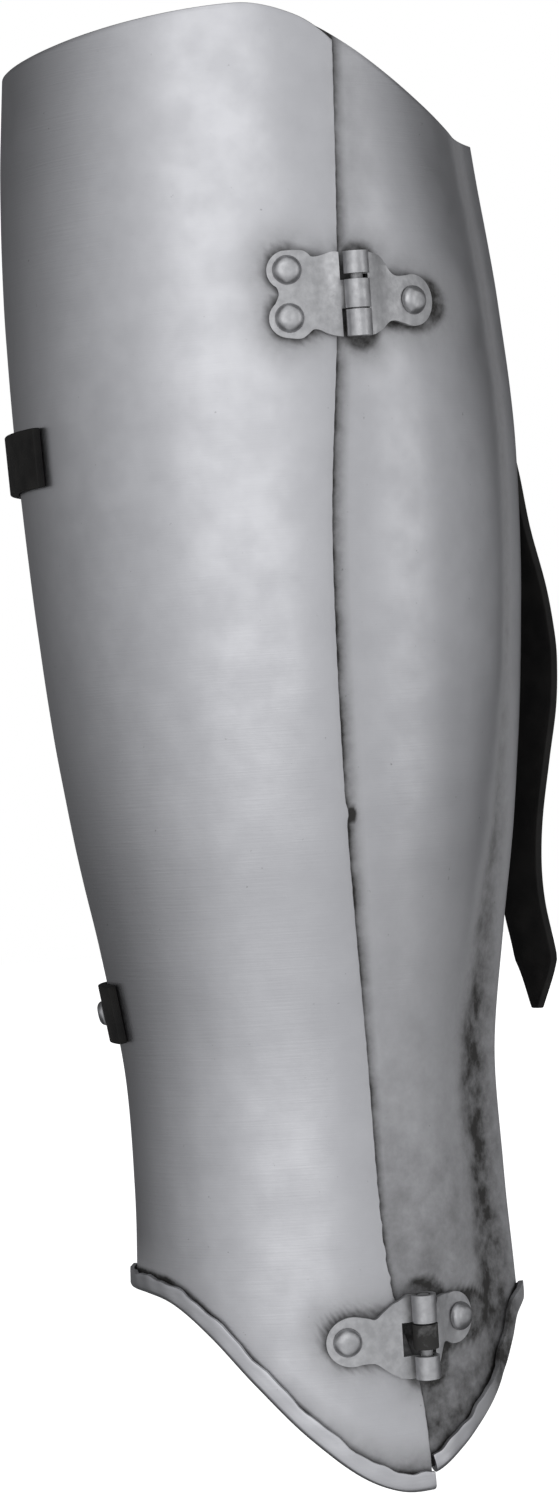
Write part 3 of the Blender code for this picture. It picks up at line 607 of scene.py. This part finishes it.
def calf_grime_and_shade(turn, z, spots, step):
    """Where black lies on the calf plate: the hinges, the seam's edge, and over the hem."""
    upper = hinge_shade_and_grime(spots, UPPER_HINGE, UPPER_LEAVES)
    lower = hinge_shade_and_grime(spots, LOWER_HINGE, LOWER_LEAVES)
    from_seam = np.abs(turn - seam_turn(z)) * half_width(z)
    edge = CALF_EDGE * fall_off(from_seam, CALF_EDGE_REACH)
    hem = rim_line(turn, z, calf_rim, step)
    above_hem = np.maximum(0.0, z - calf_rim(turn) - HEM_HEIGHT)
    shade = (OVER_HEM + OVER_HEM_AT_SEAM * fall_off(from_seam, 0.034)) * (step == 0)
    shade = shade * fall_off(above_hem, OVER_HEM_REACH)
    return np.maximum.reduce((upper, lower, edge, hem, shade))


def shin_grime_and_shade(turn, z, spots, step):
    """Where black lies on the shin plate: beside the seam, at the hinges, hollow, hem and foot."""
    from_seam = (turn - seam_turn(z)) * half_width(z)
    line = SEAM_LINE * np.where(from_seam > 0.0, fall_off(from_seam, SEAM_LINE_REACH), 1.0)
    stripe = SEAM_STRIPE * fall_off(from_seam, SEAM_STRIPE_REACH)
    stripe = stripe + SEAM_SMUDGE * fall_off(from_seam, SEAM_SMUDGE_REACH)
    foot = FOOT_SHADE * np.clip((0.185 - z) / 0.115, 0.0, 1.0)
    foot = foot + FOOT_BLACK * np.clip((0.048 - z) / 0.026, 0.0, 1.0)
    upper = hinge_shade_and_grime(spots, UPPER_HINGE, UPPER_LEAVES)
    # The lower hinge's band is stronger: painted shade, black in the open window of its rear leaf.
    lower = LOWER_HALO * hinge_shade_and_grime(spots, LOWER_HINGE, LOWER_LEAVES)
    top = SEAM_TOP * fall_off(from_seam, SEAM_TOP_REACH) * np.clip((z - 0.325) / 0.02, 0.0, 1.0)
    beside, over = (from_seam - 0.0016) / 0.0014, (z - BURR_HEIGHT + 0.0004) / 0.0026
    burr = BURR_BLACK * np.exp(-(beside**2) - over**2)
    outer = np.maximum.reduce((line, stripe, foot, upper, lower, top, burr))
    outer = outer * (spots[:, 1] < 0.0) * (step == 0)
    # Painted shade: the hollow beside the shin's ridge is darkened as if it reflected the dim room, the more
    # so low down.
    low = np.clip((0.22 - z) / 0.10, 0.0, 1.0)
    aside = np.abs(spots[:, 1]) - HOLLOW_ASIDE - 0.0018 * low
    aside = aside / np.where(aside < 0.0, 0.0038 + 0.0110 * low, 0.0040 + 0.0050 * low)
    hollow = (HOLLOW_SHADE + HOLLOW_LOW_SHADE * low) * np.exp(-(aside**2))
    return np.maximum.reduce((outer, rim_line(turn, z, shin_rim, step), hollow))


calf_shell = sheet_plate(
    "calf_shell", CALF_HEM_COLUMNS / PLATE_COLUMNS, calf_stops, calf_rim, calf_top, no_inset,
    (0.0, CALF_HEM_COLUMNS / PLATE_COLUMNS), calf_grime_and_shade,
)
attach(calf_shell, "calf")
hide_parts("calf_plate")

shin_shell = sheet_plate(
    "shin_shell", SHIN_BARE_COLUMNS / PLATE_COLUMNS, shin_stops, shin_rim, top_height, shin_inset,
    (SHIN_BARE_COLUMNS / PLATE_COLUMNS, 1.0), shin_grime_and_shade,
)
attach(shin_shell, "shin")
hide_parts("shin_plate")


# Hinges: cast steel leaves riveted over the plates, each knuckle curled round the pin. The edges
# are worn soft and bright, and painted shade darkens the corners where they meet the plates.
PIN_FORWARD = 0.0249
SEAT_GAP = 0.0003
PIN_LIFT = 0.0010
PIN_RADIUS = 0.0016
PIN_CLEARANCE = 0.0003
KNUCKLE_CURL = math.radians(282)
KNUCKLE_GAP = 0.0004
LEAF = 0.0015
KNUCKLE_OUTER = PIN_RADIUS + PIN_CLEARANCE + LEAF
EDGE = KNUCKLE_OUTER + 0.0006
RIVET_RADIUS = 0.0039
RIVET_HEIGHT = 0.0024
RIVET_SINK = 0.0004
RIVET_FLATNESS = 0.16
LEAF_SEAT_START = 0.003
LEAF_SEAT_REACH = 0.006
LEAF_CUTS_AWAY = np.arange(0.005, 0.030, 0.002)
LEAF_CUTS_ALONG = np.arange(-0.0105, 0.011, 0.003)
HINGE_EDGE_ANGLE = math.radians(42)
LEAF_WORN_EDGE = 0.00042
PIN_WORN_EDGE = 0.0004
PIN_SHADE = 0.35
RIVET_FOOT_SHADE = 0.75
LEAF_TOP_GRIME = 0.08
LEAF_SIDE_SHADE = 0.85
KNUCKLE_BORE_SHADE = 0.9
KNUCKLE_STEPS = 28
UPPER_HINGE_HEIGHT = 0.3165
LOWER_HINGE_HEIGHT = 0.0414

hinge_steel = steel(
    "hinge_steel", light=(0.60, 0.60, 0.61), dark=(0.36, 0.36, 0.37),
    grain_scale=420.0, brushed=False, rough=0.34,
)


def pin_seat(z):
    """A pin's centre over the calf plate at a height."""
    z = np.array([z])
    return on_form(turn_at(PIN_FORWARD, z), z, PIN_LIFT + KNUCKLE_OUTER)[0]


PIN_LOW = pin_seat(LOWER_HINGE_HEIGHT)
PIN_HIGH = pin_seat(UPPER_HINGE_HEIGHT)
PIN_AXIS = unit(PIN_HIGH - PIN_LOW)


def leaf_spots(at, side, away, along, rise, under):
    """Spots of a leaf: level with the knuckle at the pin, seated on its plate farther out."""
    away, along, rise = (np.atleast_1d(np.asarray(v, float)) for v in (away, along, rise))
    normal = form_normals(turn_at(at[0:1], at[2:3]), at[2:3])[0]
    normal = unit(normal - normal.dot(PIN_AXIS) * PIN_AXIS)
    forward = np.cross(PIN_AXIS, normal)
    flat = at + side * away[:, None] * forward + along[:, None] * PIN_AXIS
    flat = flat + (rise - KNUCKLE_OUTER)[:, None] * normal
    z = flat[:, 2]
    start = turn_at(np.full_like(z, at[0]), z)
    width = np.linalg.norm(form_points(start + TURN_STEP, z) - form_points(start, z), axis=1) / TURN_STEP
    turn = start + side * away / width
    seated = on_form(turn, z, SEAT_GAP + rise - under(turn, z))
    share = np.clip((away - LEAF_SEAT_START) / LEAF_SEAT_REACH, 0.0, 1.0)
    share = (share * share * (3.0 - 2.0 * share))[:, None]
    return flat * (1.0 - share) + seated * share


def lobe(away, along, radius, first, last):
    """The round of a leaf's lobe, from one angle in degrees to another."""
    angles = np.radians(np.linspace(first, last, 24))
    return [(away + radius * math.cos(a), along + radius * math.sin(a)) for a in angles]


def soften(points):
    """The outline's corners filed round, its two ends kept."""
    for _ in range(2):
        filed = [points[0]]
        for (x1, y1), (x2, y2) in zip(points, points[1:]):
            for share in (0.25, 0.75):
                filed.append((x1 + share * (x2 - x1), y1 + share * (y2 - y1)))
        points = filed + [points[-1]]
    return points


def tongue(low, high):
    """The strip of a leaf that reaches the pin, to be curled as a knuckle."""
    return [(EDGE, high), (0.0, high), (0.0, low), (EDGE, low)]


def add_piece(name, bm, finish, body, nodes, bevel):
    """Make a piece of a bmesh, with worn edges, riding on a body in place of its solids."""
    bmesh.ops.recalc_face_normals(bm, faces=bm.faces)
    piece = bpy.data.objects.new(name, bpy.data.meshes.new(name))
    bm.to_mesh(piece.data)
    bm.free()
    bpy.context.scene.collection.objects.link(piece)
    piece.data.shade_smooth()
    piece.data.materials.append(finish)
    if bevel:
        edge = piece.modifiers.new("worn_edge", "BEVEL")
        edge.width = bevel
        edge.segments = EDGE_STEPS
        edge.limit_method = "ANGLE"
        edge.angle_limit = HINGE_EDGE_ANGLE
        edge.harden_normals = True
    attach(piece, body)
    if nodes:
        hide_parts(*nodes)
    return piece


def hinge_leaf(name, at, side, outline, under, body, knuckle_black=0.0):
    """A leaf: its outline cut to strips, given its thickness, bent to the plate, and curled."""
    bm = bmesh.new()
    bm.faces.new([bm.verts.new((away, along, 0.0)) for away, along in outline])
    cuts = [((cut, 0, 0), (1, 0, 0)) for cut in LEAF_CUTS_AWAY]
    cuts += [((0, cut, 0), (0, 1, 0)) for cut in LEAF_CUTS_ALONG]
    for spot, across in cuts:
        sheet = list(bm.verts) + list(bm.edges) + list(bm.faces)
        bmesh.ops.bisect_plane(bm, geom=sheet, dist=1e-6, plane_co=spot, plane_no=across)
    made = bmesh.ops.extrude_face_region(bm, geom=list(bm.faces), use_keep_orig=True)["geom"]
    for item in made:
        if isinstance(item, bmesh.types.BMVert):
            item.co.z = LEAF
    ends = [face for face in bm.faces if all(abs(v.co.x) < 1e-6 for v in face.verts)]
    dark = bm.verts.layers.float.new("grime_and_shade")
    flat = np.array([v.co for v in bm.verts])
    for vert, spot in zip(bm.verts, leaf_spots(at, side, flat[:, 0], flat[:, 1], flat[:, 2], under)):
        # Painted shade on the leaf's sides, darkest at the foot where it meets the plate; light grime on top.
        vert[dark] = LEAF_SIDE_SHADE if vert.co.z < 1e-6 else LEAF_TOP_GRIME
        vert.co = spot
    bmesh.ops.spin(
        bm, geom=ends, cent=at, axis=PIN_AXIS, angle=side * KNUCKLE_CURL, steps=KNUCKLE_STEPS, use_merge=False
    )
    for face in ends:
        if face.is_valid:
            bm.faces.remove(face)
    bmesh.ops.remove_doubles(bm, verts=bm.verts, dist=1e-6)
    for vert in bm.verts:
        from_axis = Vector(np.cross(np.array(vert.co) - at, PIN_AXIS)).length
        if from_axis < KNUCKLE_OUTER + 0.0001:
            # Painted shade inside the knuckle's bore.
            in_bore = from_axis < KNUCKLE_OUTER - 0.5 * LEAF
            vert[dark] = KNUCKLE_BORE_SHADE if in_bore else knuckle_black
    add_piece(name + "_plate", bm, hinge_steel, body, [name], LEAF_WORN_EDGE)


def rivet(name, centre, normal, radius, height, body, node):
    """A rivet's head: a dome, hammered a little flat, sunk to sit tight."""
    bm = bmesh.new()
    bmesh.ops.create_uvsphere(bm, u_segments=36, v_segments=20, radius=radius)
    whole = list(bm.verts) + list(bm.edges) + list(bm.faces)
    cut = bmesh.ops.bisect_plane(
        bm, geom=whole, dist=1e-7, plane_co=(0, 0, 0), plane_no=(0, 0, 1), clear_inner=True
    )
    bmesh.ops.edgeloop_fill(bm, edges=[e for e in cut["geom_cut"] if isinstance(e, bmesh.types.BMEdge)])
    dark = bm.verts.layers.float.new("grime_and_shade")
    for vert in bm.verts:
        share = vert.co.z / radius
        # Painted shade at the dome's foot, where it meets the leaf.
        vert[dark] = RIVET_FOOT_SHADE * max(0.0, 1.0 - 4.0 * share)
        vert.co.z = height * (share - RIVET_FLATNESS * share**6) / (1.0 - RIVET_FLATNESS)
    turn = Vector((0, 0, 1)).rotation_difference(normal).to_matrix().to_4x4()
    place = Matrix.Translation(Vector(centre) - RIVET_SINK * normal) @ turn
    bmesh.ops.transform(bm, matrix=place, verts=bm.verts)
    add_piece(name, bm, hinge_steel, body, [node], 0.0)


def leaf_rivet(name, at, side, away, along, under, body):
    """A rivet on a hinge leaf."""
    low, high = leaf_spots(at, side, [away] * 2, [along] * 2, [LEAF + SEAT_GAP, LEAF + 2 * SEAT_GAP], under)
    rivet(name + "_head", low, Vector(unit(high - low)), RIVET_RADIUS, RIVET_HEIGHT, body, name)


def hinge_pin(name, at, low, high):
    """A hinge's pin, its ends peened a little round."""
    bm = bmesh.new()
    turn = Vector((0, 0, 1)).rotation_difference(Vector(PIN_AXIS)).to_matrix().to_4x4()
    middle = Vector(at + 0.5 * (low + high) * PIN_AXIS)
    bmesh.ops.create_cone(
        bm, cap_ends=True, segments=32, radius1=PIN_RADIUS, radius2=PIN_RADIUS,
        depth=high - low, matrix=Matrix.Translation(middle) @ turn,
    )
    # The pin is darkened all over: painted shade in the slots between the knuckles, where it shows.
    dark = bm.verts.layers.float.new("grime_and_shade")
    for vert in bm.verts:
        vert[dark] = PIN_SHADE
    add_piece(name + "_rod", bm, hinge_steel, "calf", [name], PIN_WORN_EDGE)


UPPER_HALF = 0.0110
MIDDLE_HALF = 0.0037
PIN_SHOWN = 0.0015
REAR_REACH = 0.0188
REAR_LOBE = 0.0052
REAR_LOBE_RISE = 0.0074
REAR_LOBE_DROP = 0.0052
FRONT_REACH = 0.0172
FRONT_LOBE = 0.0069
FRONT_LOBE_DROP = 0.0019


def outline_points(rows, reach, half):
    """Outline points from shares of a leaf's reach and of half its hinge's length."""
    return [(away * reach, along * half) for away, along in rows]


rear_foot = ((0.45, -0.95), (0.66, -0.74), (0.76, -0.89), (0.85, -1.00))
rear_crown = ((0.79, 1.13), (0.71, 1.04), (0.65, 0.91), (0.35, 1.05))
upper_rear = tongue(-MIDDLE_HALF, MIDDLE_HALF) + soften(
    [(EDGE, -UPPER_HALF)]
    + outline_points(rear_foot, REAR_REACH, UPPER_HALF)
    + lobe(REAR_REACH, -REAR_LOBE_DROP, REAR_LOBE, -82, 50)
    + [(1.12 * REAR_REACH, 0.10 * UPPER_HALF)]
    + lobe(REAR_REACH, REAR_LOBE_RISE, REAR_LOBE, -58, 80)
    + outline_points(rear_crown, REAR_REACH, UPPER_HALF)
    + [(EDGE, UPPER_HALF)]
)
hinge_leaf("upper_hinge_rear_leaf", PIN_HIGH, -1, upper_rear, no_inset, "calf")
front_foot = ((0.30, -0.97), (0.41, -0.86), (0.51, -0.68), (0.61, -0.64))
front_crown = ((0.67, 0.41), (0.56, 0.58), (0.49, 0.79), (0.41, 0.92))
upper_front = (
    tongue(MIDDLE_HALF + PIN_SHOWN, UPPER_HALF)
    + tongue(-UPPER_HALF, -MIDDLE_HALF - KNUCKLE_GAP)
    + soften(
        outline_points(front_foot, FRONT_REACH, UPPER_HALF)
        + lobe(FRONT_REACH, -FRONT_LOBE_DROP, FRONT_LOBE, -115, 108)
        + outline_points(front_crown, FRONT_REACH, UPPER_HALF)
    )
)
hinge_leaf("upper_hinge_front_leaf", PIN_HIGH, 1, upper_front, shin_inset, "shin")
hinge_pin("upper_hinge_pin", PIN_HIGH, -UPPER_HALF, UPPER_HALF)
leaf_rivet("upper_hinge_rivet_1", PIN_HIGH, -1, REAR_REACH, REAR_LOBE_RISE, no_inset, "calf")
leaf_rivet("upper_hinge_rivet_2", PIN_HIGH, -1, REAR_REACH, -REAR_LOBE_DROP, no_inset, "calf")
leaf_rivet("upper_hinge_rivet_3", PIN_HIGH, 1, FRONT_REACH, -FRONT_LOBE_DROP, shin_inset, "shin")

# The lower hinge: its rear leaf has two knuckles and the open window between them, and its
# front leaf one knuckle, coloured black.
LOWER_HALF = 0.0114
LOWER_FOOT = -0.98 * LOWER_HALF
WINDOW = 0.0071
WINDOW_TOP = 0.35 * LOWER_HALF
WINDOW_FOOT = -0.44 * LOWER_HALF
LOWER_REAR_REACH = 0.0202
LOWER_REAR_LOBE = 0.0066
LOWER_REAR_RISE = 0.0007
LOWER_REAR_RIVET = 0.0215
LOWER_FRONT_REACH = 0.0102
LOWER_FRONT_LOBE = 0.0069
LOWER_FRONT_RISE = 0.0026
LOWER_FRONT_RIVET = 0.0123
LOWER_KNUCKLE_BLACK = 1.15
lower_rear_foot = ((0.41, -0.93), (0.56, -0.77), (0.71, -0.52), (0.79, -0.49))
lower_rear_crown = ((0.79, 0.56), (0.70, 0.49), (0.61, 0.64), (0.47, 0.81))
lower_rear = (
    tongue(WINDOW_TOP, LOWER_HALF)
    + [(WINDOW, WINDOW_TOP), (WINDOW, WINDOW_FOOT)]
    + tongue(LOWER_FOOT, WINDOW_FOOT)
    + soften(
        outline_points(lower_rear_foot, LOWER_REAR_REACH, LOWER_HALF)
        + lobe(LOWER_REAR_REACH, LOWER_REAR_RISE, LOWER_REAR_LOBE, -108, 108)
        + outline_points(lower_rear_crown, LOWER_REAR_REACH, LOWER_HALF)
    )
)
hinge_leaf("lower_hinge_rear_leaf", PIN_LOW, -1, lower_rear, no_inset, "calf")
lower_front_foot = ((0.47, -0.78), (0.59, -0.34), (0.65, -0.24))
lower_front_crown = ((0.68, 0.84), (0.52, 0.81))
lower_front = tongue(-0.27 * LOWER_HALF, 0.31 * LOWER_HALF) + soften(
    [(EDGE, -0.78 * LOWER_HALF)]
    + outline_points(lower_front_foot, LOWER_FRONT_REACH, LOWER_HALF)
    + lobe(LOWER_FRONT_REACH, LOWER_FRONT_RISE, LOWER_FRONT_LOBE, -106, 104)
    + outline_points(lower_front_crown, LOWER_FRONT_REACH, LOWER_HALF)
)
hinge_leaf("lower_hinge_front_leaf", PIN_LOW, 1, lower_front, shin_inset, "shin", LOWER_KNUCKLE_BLACK)
hinge_pin("lower_hinge_pin", PIN_LOW, LOWER_FOOT, LOWER_HALF)
leaf_rivet("lower_hinge_rivet_1", PIN_LOW, -1, LOWER_REAR_RIVET, LOWER_REAR_RISE, no_inset, "calf")
leaf_rivet("lower_hinge_rivet_2", PIN_LOW, 1, LOWER_FRONT_RIVET, LOWER_FRONT_RISE, shin_inset, "shin")


# Leather: black straps and buckle tabs of 2.4 mm, their edges rounded and burnished, the face
# lightly grained. Each is riveted by one end; the straps' free ends hang to a point.
STRAP_WIDTH = 0.016
LEATHER = 0.0024
STRAP_POINT = 0.014
STRAP_STAND = 0.0100
STRAP_CURVE_ROOM = 0.0002
STRAP_RIVET_INSET = 0.008
STRAP_RIVET_RADIUS = 0.0034
STRAP_RIVET_HEIGHT = 0.0017
STRAP_TIP_SHARE = 0.18
STRAP_STEPS = 110
BURNISHED_EDGE = 0.0006

# Way down the strap, how far it stands out as a share of STRAP_STAND, and its twist in degrees
UPPER_STANDS = np.array((
    (0.00, 0.00, 0), (0.09, 0.02, 0), (0.14, 0.16, 2), (0.19, 0.30, 5), (0.27, 0.48, 9), (0.36, 0.82, 13),
    (0.43, 0.98, 14), (0.47, 1.00, 14), (0.54, 0.88, 14), (0.62, 0.56, 14), (0.71, 0.22, 14),
    (0.78, 0.09, 14), (0.84, 0.13, 14), (0.93, 0.40, 14), (1.00, 0.34, 14),
))
LOWER_STANDS = np.array((
    (0.00, 0.00, 0), (0.12, 0.00, 0), (0.30, 0.21, 2), (0.55, 0.29, 4), (0.80, 0.26, 4), (1.00, 0.34, 4),
))

leather = bpy.data.materials.new("black_leather")
leather.use_nodes = True
nodes, links = leather.node_tree.nodes, leather.node_tree.links
shader = nodes["Principled BSDF"]
place = nodes.new("ShaderNodeTexCoord")
grain = nodes.new("ShaderNodeTexVoronoi")
grain.feature = "DISTANCE_TO_EDGE"
grain.inputs["Scale"].default_value = 1400.0
links.new(place.outputs["Object"], grain.inputs["Vector"])
creases = nodes.new("ShaderNodeTexNoise")
creases.inputs["Scale"].default_value = 160.0
creases.inputs["Detail"].default_value = 6.0
links.new(place.outputs["Object"], creases.inputs["Vector"])
tint = nodes.new("ShaderNodeValToRGB")
tint.color_ramp.elements[0].position = 0.35
tint.color_ramp.elements[0].color = (0.0035, 0.0033, 0.0032, 1.0)
tint.color_ramp.elements[1].position = 0.75
tint.color_ramp.elements[1].color = (0.010, 0.0092, 0.0086, 1.0)
links.new(creases.outputs["Fac"], tint.inputs[0])
links.new(tint.outputs[0], shader.inputs["Base Color"])
gloss = nodes.new("ShaderNodeMapRange")
gloss.inputs["To Min"].default_value = 0.62
gloss.inputs["To Max"].default_value = 0.82
links.new(creases.outputs["Fac"], gloss.inputs["Value"])
links.new(gloss.outputs[0], shader.inputs["Roughness"])
shader.inputs["Specular IOR Level"].default_value = 0.25
lift = nodes.new("ShaderNodeMath")
lift.operation = "ADD"
links.new(grain.outputs["Distance"], lift.inputs[0])
links.new(creases.outputs["Fac"], lift.inputs[1])
bump = nodes.new("ShaderNodeBump")
bump.inputs["Strength"].default_value = 0.35
bump.inputs["Distance"].default_value = 0.0002
links.new(lift.outputs[0], bump.inputs["Height"])
links.new(bump.outputs[0], shader.inputs["Normal"])


def leather_strip(name, spots, acrosses, widths, body, node):
    """A strip of leather swept along its middle line, its edges rounded."""
    bm = bmesh.new()
    rows = len(spots)
    bmesh.ops.create_grid(bm, x_segments=6, y_segments=rows - 1, size=0.5)
    for vert in bm.verts:
        row = int(round((vert.co.y + 0.5) * (rows - 1)))
        vert.co = Vector(spots[row]) + Vector(acrosses[row]) * (vert.co.x * widths[row])
    piece = add_piece(name, bm, leather, body, [node], 0.0)
    wall = piece.modifiers.new("wall", "SOLIDIFY")
    wall.thickness = LEATHER
    wall.offset = 0.0
    edge = piece.modifiers.new("burnished_edge", "BEVEL")
    edge.width = BURNISHED_EDGE
    edge.segments = EDGE_STEPS
    edge.limit_method = "ANGLE"
    edge.angle_limit = PLATE_EDGE_ANGLE


def hanging_strap(name, turn, top, length, stands):
    """A strap riveted by its top end to the shin plate, hanging free to a pointed tip."""
    leave_at = top - 2 * STRAP_RIVET_INSET
    down = np.linspace(0.0, 1.0, STRAP_STEPS)
    z = top - length * down
    held = np.maximum(z, leave_at)
    turns = np.full_like(z, turn)
    out = SEAT_GAP + LEATHER / 2 + STRAP_CURVE_ROOM - float(shin_inset(turn, np.array([leave_at]))[0])
    normal = form_normals(turns, held)
    normal[:, 2] = 0.0
    normal = unit(normal)
    root = on_form(turns, held, out)
    stand = STRAP_STAND * smooth_values(stands, 1, down)
    twist = np.radians(smooth_values(stands, 2, down))
    flat = np.stack((-normal[:, 1], normal[:, 0], np.zeros_like(z)), axis=1)
    across = flat * np.cos(twist)[:, None] - normal * np.sin(twist)[:, None]
    spots = np.stack((root[:, 0], root[:, 1], z), axis=1) + stand[:, None] * normal
    point = (1.0 - STRAP_TIP_SHARE) * length * (1.0 - down) / STRAP_POINT
    widths = STRAP_WIDTH * np.minimum(1.0, STRAP_TIP_SHARE + point)
    leather_strip(name + "_leather", spots, across, widths, "shin", name)
    at = np.array([top - STRAP_RIVET_INSET])
    face = form_normals(np.array([turn]), at)[0]
    seat = on_form(np.array([turn]), at, out + LEATHER / 2 + SEAT_GAP)[0]
    size = (STRAP_RIVET_RADIUS, STRAP_RIVET_HEIGHT)
    rivet(name + "_rivet_head", seat, Vector(face), *size, "shin", name + "_rivet")


hanging_strap("upper_strap", turn=math.radians(22), top=0.306, length=0.184, stands=UPPER_STANDS)
hanging_strap("lower_strap", turn=math.radians(42), top=0.142, length=0.114, stands=LOWER_STANDS)


# Buckles: each tab is riveted to the calf plate and curled round the bar of a plain steel
# buckle on the inner side, with its prong.
BUCKLE_BAR = 0.0022
BUCKLE_LENGTH = 0.018
BUCKLE_SIDE_ROOM = 0.0012
BUCKLE_CORNER = 0.0025
CORNER_POINTS = 7
PRONG_ROOT = 0.0009
PRONG_TIP = 0.0006
PRONG_WORN_EDGE = 0.0002
TAB_STEPS = 60
TAB_CURL = np.radians(np.linspace(9.0, 243.0, 27))


def buckle_frame(name, bar, travel, up):
    """The frame: a round rod bent at four corners into a ring, one side of it the bar."""
    half = STRAP_WIDTH / 2 + BUCKLE_SIDE_ROOM + BUCKLE_BAR / 2 - BUCKLE_CORNER
    near, far = BUCKLE_CORNER, BUCKLE_LENGTH - BUCKLE_BAR - BUCKLE_CORNER
    corners = ((near, -half, 180), (far, -half, 270), (far, half, 0), (near, half, 90))
    rod = bpy.data.curves.new(name + "_buckle_frame", "CURVE")
    rod.dimensions = "3D"
    rod.bevel_depth = BUCKLE_BAR / 2
    rod.bevel_resolution = 5
    spline = rod.splines.new("POLY")
    spline.points.add(len(corners) * CORNER_POINTS - 1)
    spline.use_cyclic_u = True
    for corner, (x, y, first) in enumerate(corners):
        for step, angle in enumerate(np.radians(np.linspace(first, first + 90, CORNER_POINTS))):
            spot = bar + (x + BUCKLE_CORNER * math.cos(angle)) * travel
            spot = spot + (y + BUCKLE_CORNER * math.sin(angle)) * up
            spline.points[corner * CORNER_POINTS + step].co = (*spot, 1.0)
    rod.materials.append(hinge_steel)
    ring = bpy.data.objects.new(name + "_buckle_frame", rod)
    bpy.context.scene.collection.objects.link(ring)
    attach(ring, "calf")
    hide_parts(name + "_buckle")


def buckle_tab(name, height, first, last, rivet_turn):
    """A tab laid on the calf plate, its inner end curled round the bar of its buckle."""
    turns = np.radians(np.linspace(first, last, TAB_STEPS))
    heights = np.full_like(turns, height)
    spots = list(on_form(turns, heights, SEAT_GAP + LEATHER / 2))
    ups = list(unit(form_points(turns, heights + 0.004) - form_points(turns, heights - 0.004)))
    normal = form_normals(turns[-1:], heights[-1:])[0]
    up = ups[-1]
    travel = unit(np.cross(normal, up))
    travel *= np.sign(travel.dot(spots[-1] - spots[-2]))
    curl = BUCKLE_BAR / 2 * math.sqrt(2.0) + SEAT_GAP + LEATHER / 2
    bar = spots[-1] + curl * normal
    for angle in TAB_CURL:
        spots.append(bar + curl * (math.sin(angle) * travel - math.cos(angle) * normal))
        ups.append(up)
    widths = [STRAP_WIDTH] * len(spots)
    leather_strip(name + "_tab_leather", spots, ups, widths, "calf", name + "_buckle_tab")
    turn = np.radians(np.array([rivet_turn]))
    seat = on_form(turn, np.array([height]), 2 * SEAT_GAP + LEATHER)[0]
    face = Vector(form_normals(turn, np.array([height]))[0])
    size = (STRAP_RIVET_RADIUS, STRAP_RIVET_HEIGHT)
    rivet(name + "_tab_rivet_head", seat, face, *size, "calf", name + "_tab_rivet")
    buckle_frame(name, bar, travel, up)
    bm = bmesh.new()
    length = BUCKLE_LENGTH - 0.3 * BUCKLE_BAR
    middle = Vector(bar + 0.7 * BUCKLE_BAR * normal + 0.5 * length * travel)
    turned = Vector((0, 0, 1)).rotation_difference(Vector(travel)).to_matrix().to_4x4()
    bmesh.ops.create_cone(
        bm, cap_ends=True, segments=20, radius1=PRONG_ROOT, radius2=PRONG_TIP, depth=length,
        matrix=Matrix.Translation(middle) @ turned,
    )
    add_piece(name + "_buckle_prong", bm, hinge_steel, "calf", [], PRONG_WORN_EDGE)


buckle_tab("upper", height=0.2815, first=-150.4, last=-236.0, rivet_turn=-196.0)
buckle_tab("lower", height=0.1305, first=-160.0, last=-232.0, rivet_turn=-179.0)
